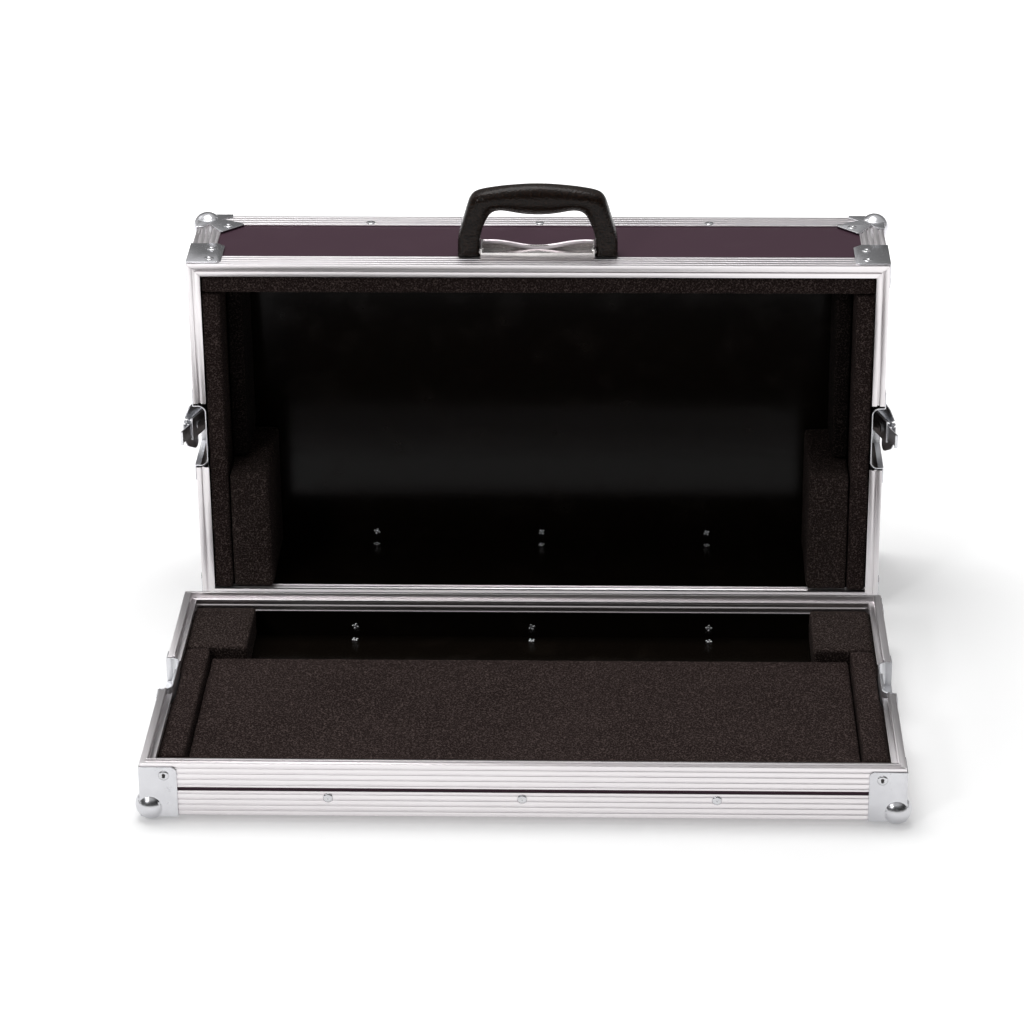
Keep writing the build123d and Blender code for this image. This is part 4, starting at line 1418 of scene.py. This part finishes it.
@dataclass
class Studio:
    """Floor, light and camera."""

    floor_size: float = 30.0
    floor_tone: Color = (0.86, 0.86, 0.86, 1.0)
    floor_glow: float = 0.25
    far_glow: float = 0.75
    glow_reach: tuple[float, float] = (0.45, 1.2)
    sky: float = 0.50
    seen_sky: float = 0.66
    room_shade: float = 0.93
    right_shade: float = 0.35
    back_shade: float = 0.74
    lamps: tuple[Lamp, ...] = (
        Lamp("top", (-0.3, 0.4, 2.9), (0.0, 0.0, 0.0), 1.7, 46.0),
        Lamp("rear_left", (-1.6, 1.1, 1.5), (-0.2, 0.0, 0.1), 0.8, 1.5),
        Lamp("front_left", (-1.5, -2.3, 1.9), (0.0, 0.0, 0.1), 0.5, 15.0),
    )
    eye: Point = (0.08366, -3.22216, 1.58603)
    yaw: float = 1.8758
    pitch: float = 23.5889
    roll: float = -0.4721
    lens: float = 126.757
    sensor: float = 36.0

    def build(self) -> None:
        """Set up the whole studio."""
        self._lay_floor()
        self._light()
        self._aim_camera()
        bpy.context.scene.view_settings.view_transform = "Standard"

    def _lay_floor(self) -> None:
        """Lay a pale floor that shows white where no shadow falls."""
        reach = self.floor_size / 2
        mesh = bpy.data.meshes.new("studio_floor")
        corners = [(-reach, -reach, 0), (reach, -reach, 0), (reach, reach, 0), (-reach, reach, 0)]
        mesh.from_pydata(corners, [], [(0, 1, 2, 3)])
        floor = bpy.data.objects.new("studio_floor", mesh)
        bpy.context.scene.collection.objects.link(floor)
        canvas = Canvas("floor_paper")
        path = canvas.node("ShaderNodeLightPath")
        seen = Wire(canvas, path.outputs["Is Camera Ray"]) + Wire(canvas, path.outputs["Is Glossy Ray"])
        fibre = canvas.grain(canvas.place(), 30.0)
        pale = tuple(0.97 * part for part in self.floor_tone[:3]) + (1.0,)
        canvas.set({"Base Color": canvas.blend(fibre, self.floor_tone, pale), "Roughness": 0.9})
        here = canvas.node("ShaderNodeSeparateXYZ", None, {"Vector": canvas.place()})
        x, y = (Wire(canvas, here.outputs[number]) for number in range(2))
        level = (x * x + y * y).root().ramp(*self.glow_reach, self.floor_glow, self.far_glow)
        glow = canvas.node("ShaderNodeEmission", None, {"Strength": seen * level})
        both = canvas.node("ShaderNodeAddShader", None, {0: canvas.shader.outputs[0], 1: glow.outputs[0]})
        output = next(node for node in canvas.tree.nodes if node.type == "OUTPUT_MATERIAL")
        canvas.tree.links.new(both.outputs[0], output.inputs["Surface"])
        mesh.materials.append(canvas.material)

    def _light(self) -> None:
        """Give an even pale sky, white where it is seen, and soft lamps."""
        world = bpy.data.worlds.new("studio_sky")
        bpy.context.scene.world = world
        world.use_nodes = True
        bench = Bench(world.node_tree)
        bench.tree.nodes.clear()
        path = bench.node("ShaderNodeLightPath")
        camera, glossy = (Wire(bench, path.outputs[name]) for name in ("Is Camera Ray", "Is Glossy Ray"))
        toward = bench.wire("ShaderNodeTexCoord", output="Generated")
        split = bench.node("ShaderNodeSeparateXYZ", None, {"Vector": toward})
        right, rear, high = (Wire(bench, split.outputs[number]) for number in range(3))
        room = rear.ramp(0.10, -0.35) * high.ramp(0.80, 0.55) * high.ramp(-0.12, 0.0)
        side = 1.0 - right.ramp(0.2, 0.9) * self.right_shade
        back = rear.ramp(0.45, 0.85) * high.ramp(0.75, 0.45) * glossy * self.back_shade
        level = glossy.ramp(0.0, 1.0, self.sky, self.seen_sky)
        lit = level * side * (1.0 - room * self.room_shade) * (1.0 - back)
        strength = camera + (1.0 - camera) * lit
        background = bench.node("ShaderNodeBackground", None, {"Color": WHITE, "Strength": strength})
        output = bench.node("ShaderNodeOutputWorld")
        bench.tree.links.new(background.outputs[0], output.inputs["Surface"])
        for lamp in self.lamps:
            lamp.hang()

    def _aim_camera(self) -> None:
        """Stand the camera where the photograph was taken from."""
        yaw, pitch, roll = (math.radians(angle) for angle in (self.yaw, self.pitch, self.roll))
        ahead = Vector((-math.sin(yaw) * math.cos(pitch), math.cos(yaw) * math.cos(pitch), -math.sin(pitch)))
        level = Vector((math.cos(yaw), math.sin(yaw), 0.0))
        upward = level.cross(ahead)
        right = level * math.cos(roll) + upward * math.sin(roll)
        top = upward * math.cos(roll) - level * math.sin(roll)
        data = bpy.data.cameras.new("view")
        data.lens = self.lens
        data.sensor_width = self.sensor
        camera = bpy.data.objects.new("view", data)
        turn = Matrix((right, top, -ahead)).transposed().to_4x4()
        camera.matrix_world = Matrix.Translation(self.eye) @ turn
        bpy.context.scene.collection.objects.link(camera)
        bpy.context.scene.camera = camera


def base_parts() -> list[object]:
    """All builders of the tray.

    Returns:
        The builders, in order.
    """
    sides = ("front", "rear", "right", "left")
    runs = {
        f"base_{side}_{kind}": Run.ACROSS if side in ("front", "rear") else Run.DEEP
        for side in sides
        for kind in ("edge", "rim")
    }
    return [
        Boards(BASE, ("base_panel",) + tuple(f"base_{side}_wall" for side in sides)),
        Profiles(BASE, runs),
        Corners(BASE, ("base_ball_corners",)),
        BaseRivets(BASE, 2, (0.178, 0.178), ((0.022, 0.0415),)),
        Catches(),
        Lining(
            BASE,
            ("base_pad", "base_front_foam", "base_right_foam", "base_left_foam"),
            ("base_rear_blocks",),
        ),
    ]


def lid_parts() -> list[object]:
    """All builders of the lid.

    Returns:
        The builders, in order.
    """
    sides = ("bottom", "top", "right", "left")
    runs = {
        f"lid_{side}_{kind}": Run.ACROSS if side in ("bottom", "top") else Run.UP
        for side in sides
        for kind in ("edge", "rim")
    }
    runs["lid_corner_angles"] = Run.DEEP
    return [
        Boards(LID, ("lid_panel",) + tuple(f"lid_{side}_wall" for side in sides)),
        Profiles(LID, runs),
        Corners(LID, ("lid_ball_corners", "lid_rim_braces")),
        LidRivets(LID, 0, (0.176, 0.173), ((0.0215, 0.1224), (0.0215, 0.0961))),
        Grip(),
        Bracket(),
        DrawLatch("right"),
        DrawLatch("left"),
        LatchPins(),
        Lining(LID, ("lid_top_foam", "lid_side_foam"), ("lid_corner_blocks",), ("lid_side_pads",)),
    ]


def main() -> None:
    """Build the case and its studio."""
    logging.basicConfig(level=logging.INFO, format="%(name)s: %(message)s")
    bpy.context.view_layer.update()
    for part in base_parts() + lid_parts():
        part.build()
        log.info("%s done", type(part).__name__)
    Studio().build()


if __name__ == "__main__":
    main()
